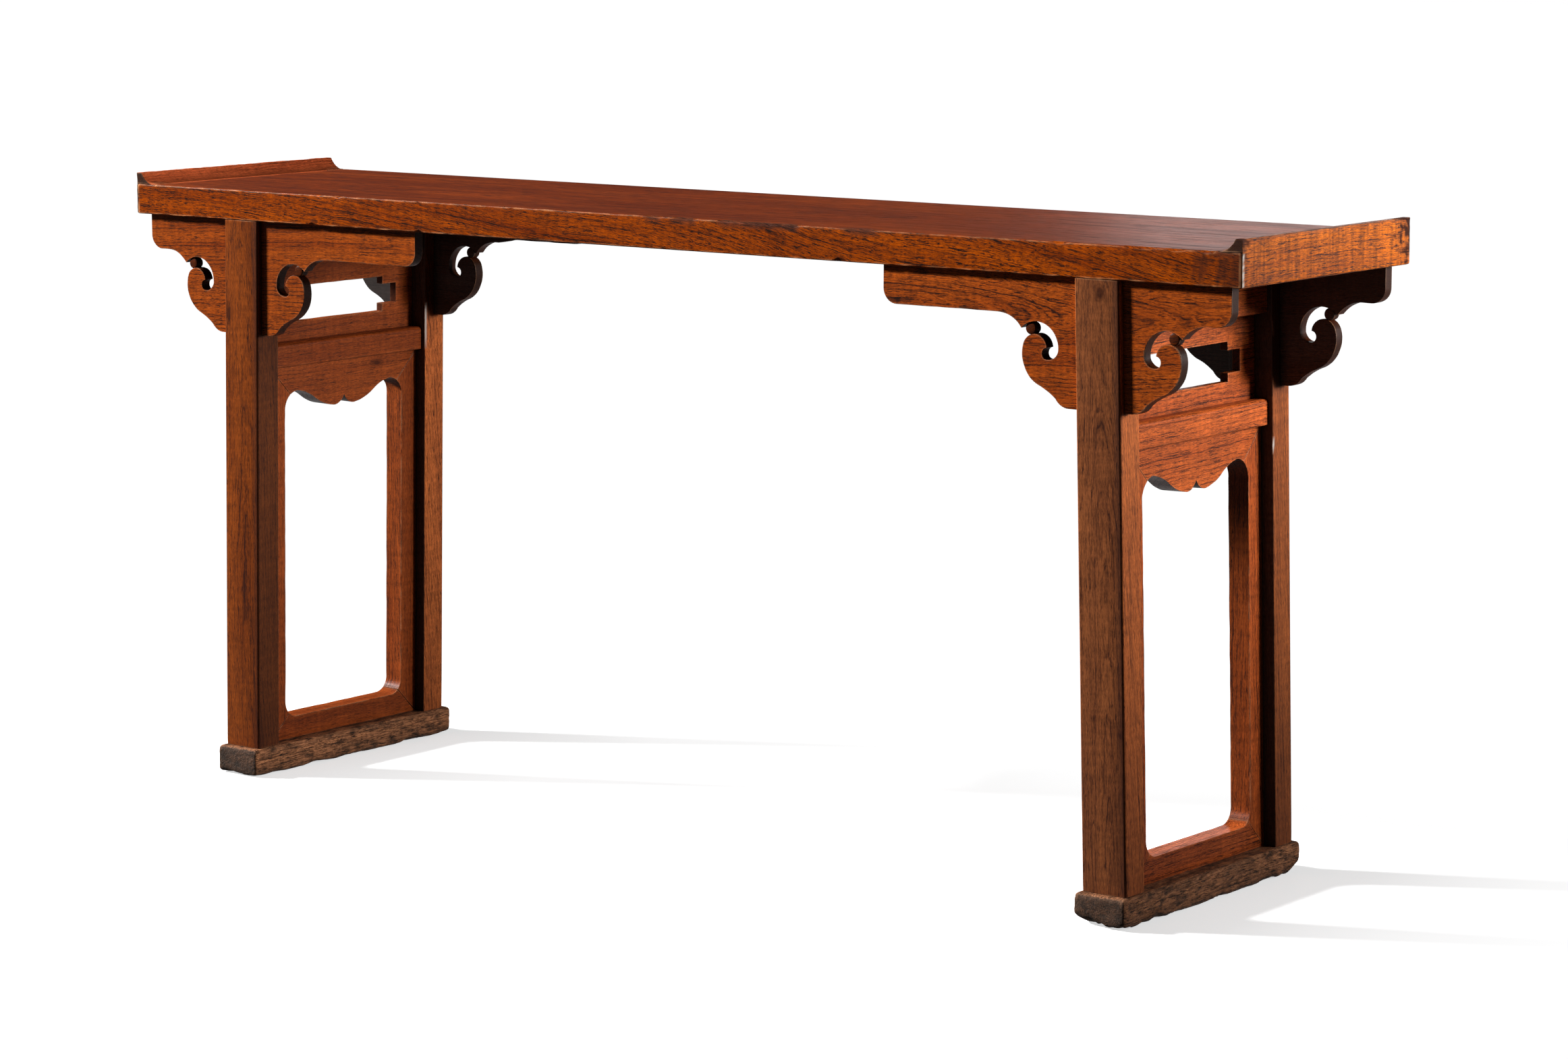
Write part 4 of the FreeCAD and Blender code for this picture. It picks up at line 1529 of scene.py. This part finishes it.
@dataclass
class Studio:
    """The floor, the lamps, the pale surroundings and the camera."""

    eye: Triple = (3.6878, -4.5948, 1.3179)
    aim: Triple = (0.094816, 0.0, 0.413942)
    roll: float = -0.153
    focal: float = 99.73
    sensor: float = 36.0
    lamps: tuple[Lamp, ...] = (
        Lamp("key_softbox", (-9.5, -4.9, 6.6), (0.0, -0.1, 0.55), 1.4, 3400.0),
        Lamp("side_softbox", (2.75, 1.35, 1.25), (0.35, 0.0, 0.85), 0.8, 8.4, 45.0),
        Lamp("rear_softbox", (-1.8, 4.8, 1.45), (0.0, 0.0, 0.5), 1.3, 12.0),
    )
    ambient: float = 0.022
    floor_reach: float = 30.0
    floor_drop: float = 0.5 * MM
    pale: float = 0.80
    dull: float = 0.035
    mirrored: float = 0.4
    white: float = 1.02
    shadow_reach: float = 0.32
    shadow_lift: Span = (0.59, 0.79)
    white_aside: Span = (0.88, 1.30)
    white_behind: Span = (0.30, 0.60)
    white_ahead: Span = (-1.6, -1.0)

    def build(self) -> None:
        """Set up everything round the table."""
        self.build_world()
        self.build_floor()
        for lamp in self.lamps:
            lamp.hang()
        self.build_camera()
        bpy.context.scene.view_settings.view_transform = "Standard"

    def build_world(self) -> None:
        """Make the surroundings white to the camera and dim to the table."""
        world = bpy.data.worlds.new("studio_white")
        bpy.context.scene.world = world
        tree = open_nodes(world)
        dim = tree.out("Background", {"Color": grey(1.0), "Strength": self.ambient})
        white = tree.out("Background", {"Color": grey(1.0), "Strength": 1.0})
        tree.close("World", tree.mix(tree.node("LightPath").outputs["Is Camera Ray"], dim, white))

    def build_floor(self) -> None:
        """Lay a white floor that keeps faint shadows and throws little light back up."""
        mesh = bpy.data.meshes.new("studio_floor")
        work = bmesh.new()
        bmesh.ops.create_grid(work, x_segments=1, y_segments=1, size=self.floor_reach)
        work.to_mesh(mesh)
        work.free()
        mesh.materials.append(self.dress_floor())
        floor = add_object("studio_floor", mesh)
        floor.location.z = -self.floor_drop

    def dress_floor(self) -> bpy.types.Material:
        """Make the floor's material, whose shadows grow fainter away from the feet.

        Returns:
            The material.
        """
        material = bpy.data.materials.new("floor_white")
        tree = open_nodes(material)
        place = tree.node("TexCoord").outputs["Object"]
        low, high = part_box("right_foot")
        foot_middle = ((low.x + high.x) / 2, 0.0, 0.0)
        foot_half = tuple((high - low) / 2)
        beside = tree.vector("SUBTRACT", tree.vector("ABSOLUTE", place), foot_middle)
        beyond = tree.vector("SUBTRACT", tree.vector("ABSOLUTE", beside), foot_half)
        gap = tree.measure("LENGTH", tree.vector("MAXIMUM", beyond, (0.0, 0.0, 0.0)))
        lift = tree.span(gap, 0.0, self.shadow_reach, *self.shadow_lift)
        near = tree.out("AddShader", {0: tree.matt(self.pale), 1: tree.glow(lift)})

        across = tree.node("SeparateXYZ", {0: place}).outputs
        aside = tree.span(tree.math("ABSOLUTE", across[0]), *self.white_aside)
        behind = tree.span(across[1], *self.white_behind)
        ahead = tree.span(across[1], *self.white_ahead, 1.0, 0.0)
        shown = tree.mix(tree.math("MAXIMUM", aside, behind, ahead), near, tree.glow(self.white))
        path = tree.node("LightPath").outputs
        unseen = tree.mix(path["Is Glossy Ray"], tree.matt(self.dull), tree.glow(self.mirrored))
        tree.close("Material", tree.mix(path["Is Camera Ray"], unseen, shown))
        return material

    def build_camera(self) -> None:
        """Put the camera at the photograph's angle."""
        lens = bpy.data.cameras.new("photo_camera")
        lens.sensor_fit = "HORIZONTAL"
        lens.sensor_width = self.sensor
        lens.lens = self.focal
        camera = add_object("photo_camera", lens)
        ahead = (Vector(self.aim) - Vector(self.eye)).normalized()
        right = ahead.cross(Vector((0.0, 0.0, 1.0))).normalized()
        up = right.cross(ahead)
        swing = math.radians(self.roll)
        turned_right = math.cos(swing) * right + math.sin(swing) * up
        turned_up = math.cos(swing) * up - math.sin(swing) * right
        turn = Matrix((turned_right, turned_up, -ahead)).transposed().to_4x4()
        camera.matrix_world = Matrix.Translation(self.eye) @ turn
        bpy.context.scene.camera = camera


def clear_start_scene() -> None:
    """Take away what Blender starts with."""
    for item in list(bpy.data.objects):
        bpy.data.objects.remove(item)


def build_effects() -> None:
    """Build the shared shader effects."""
    build_rosewood_figure()
    build_arris_wear()
    build_crevice_grime()
    build_end_grain()
    build_knot_rings()
    build_surface_rot()


def main() -> None:
    """Load the frame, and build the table's pieces and the studio."""
    logging.basicConfig(level=logging.INFO, format="%(name)s %(message)s")
    clear_start_scene()
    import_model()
    build_effects()
    pieces = TableTop().build()
    for side, timber in TIMBERS.items():
        pieces.extend(Trestle(side, timber).build())
    Studio().build()
    log.info("%d pieces", len(pieces))


if __name__ == "__main__":
    main()
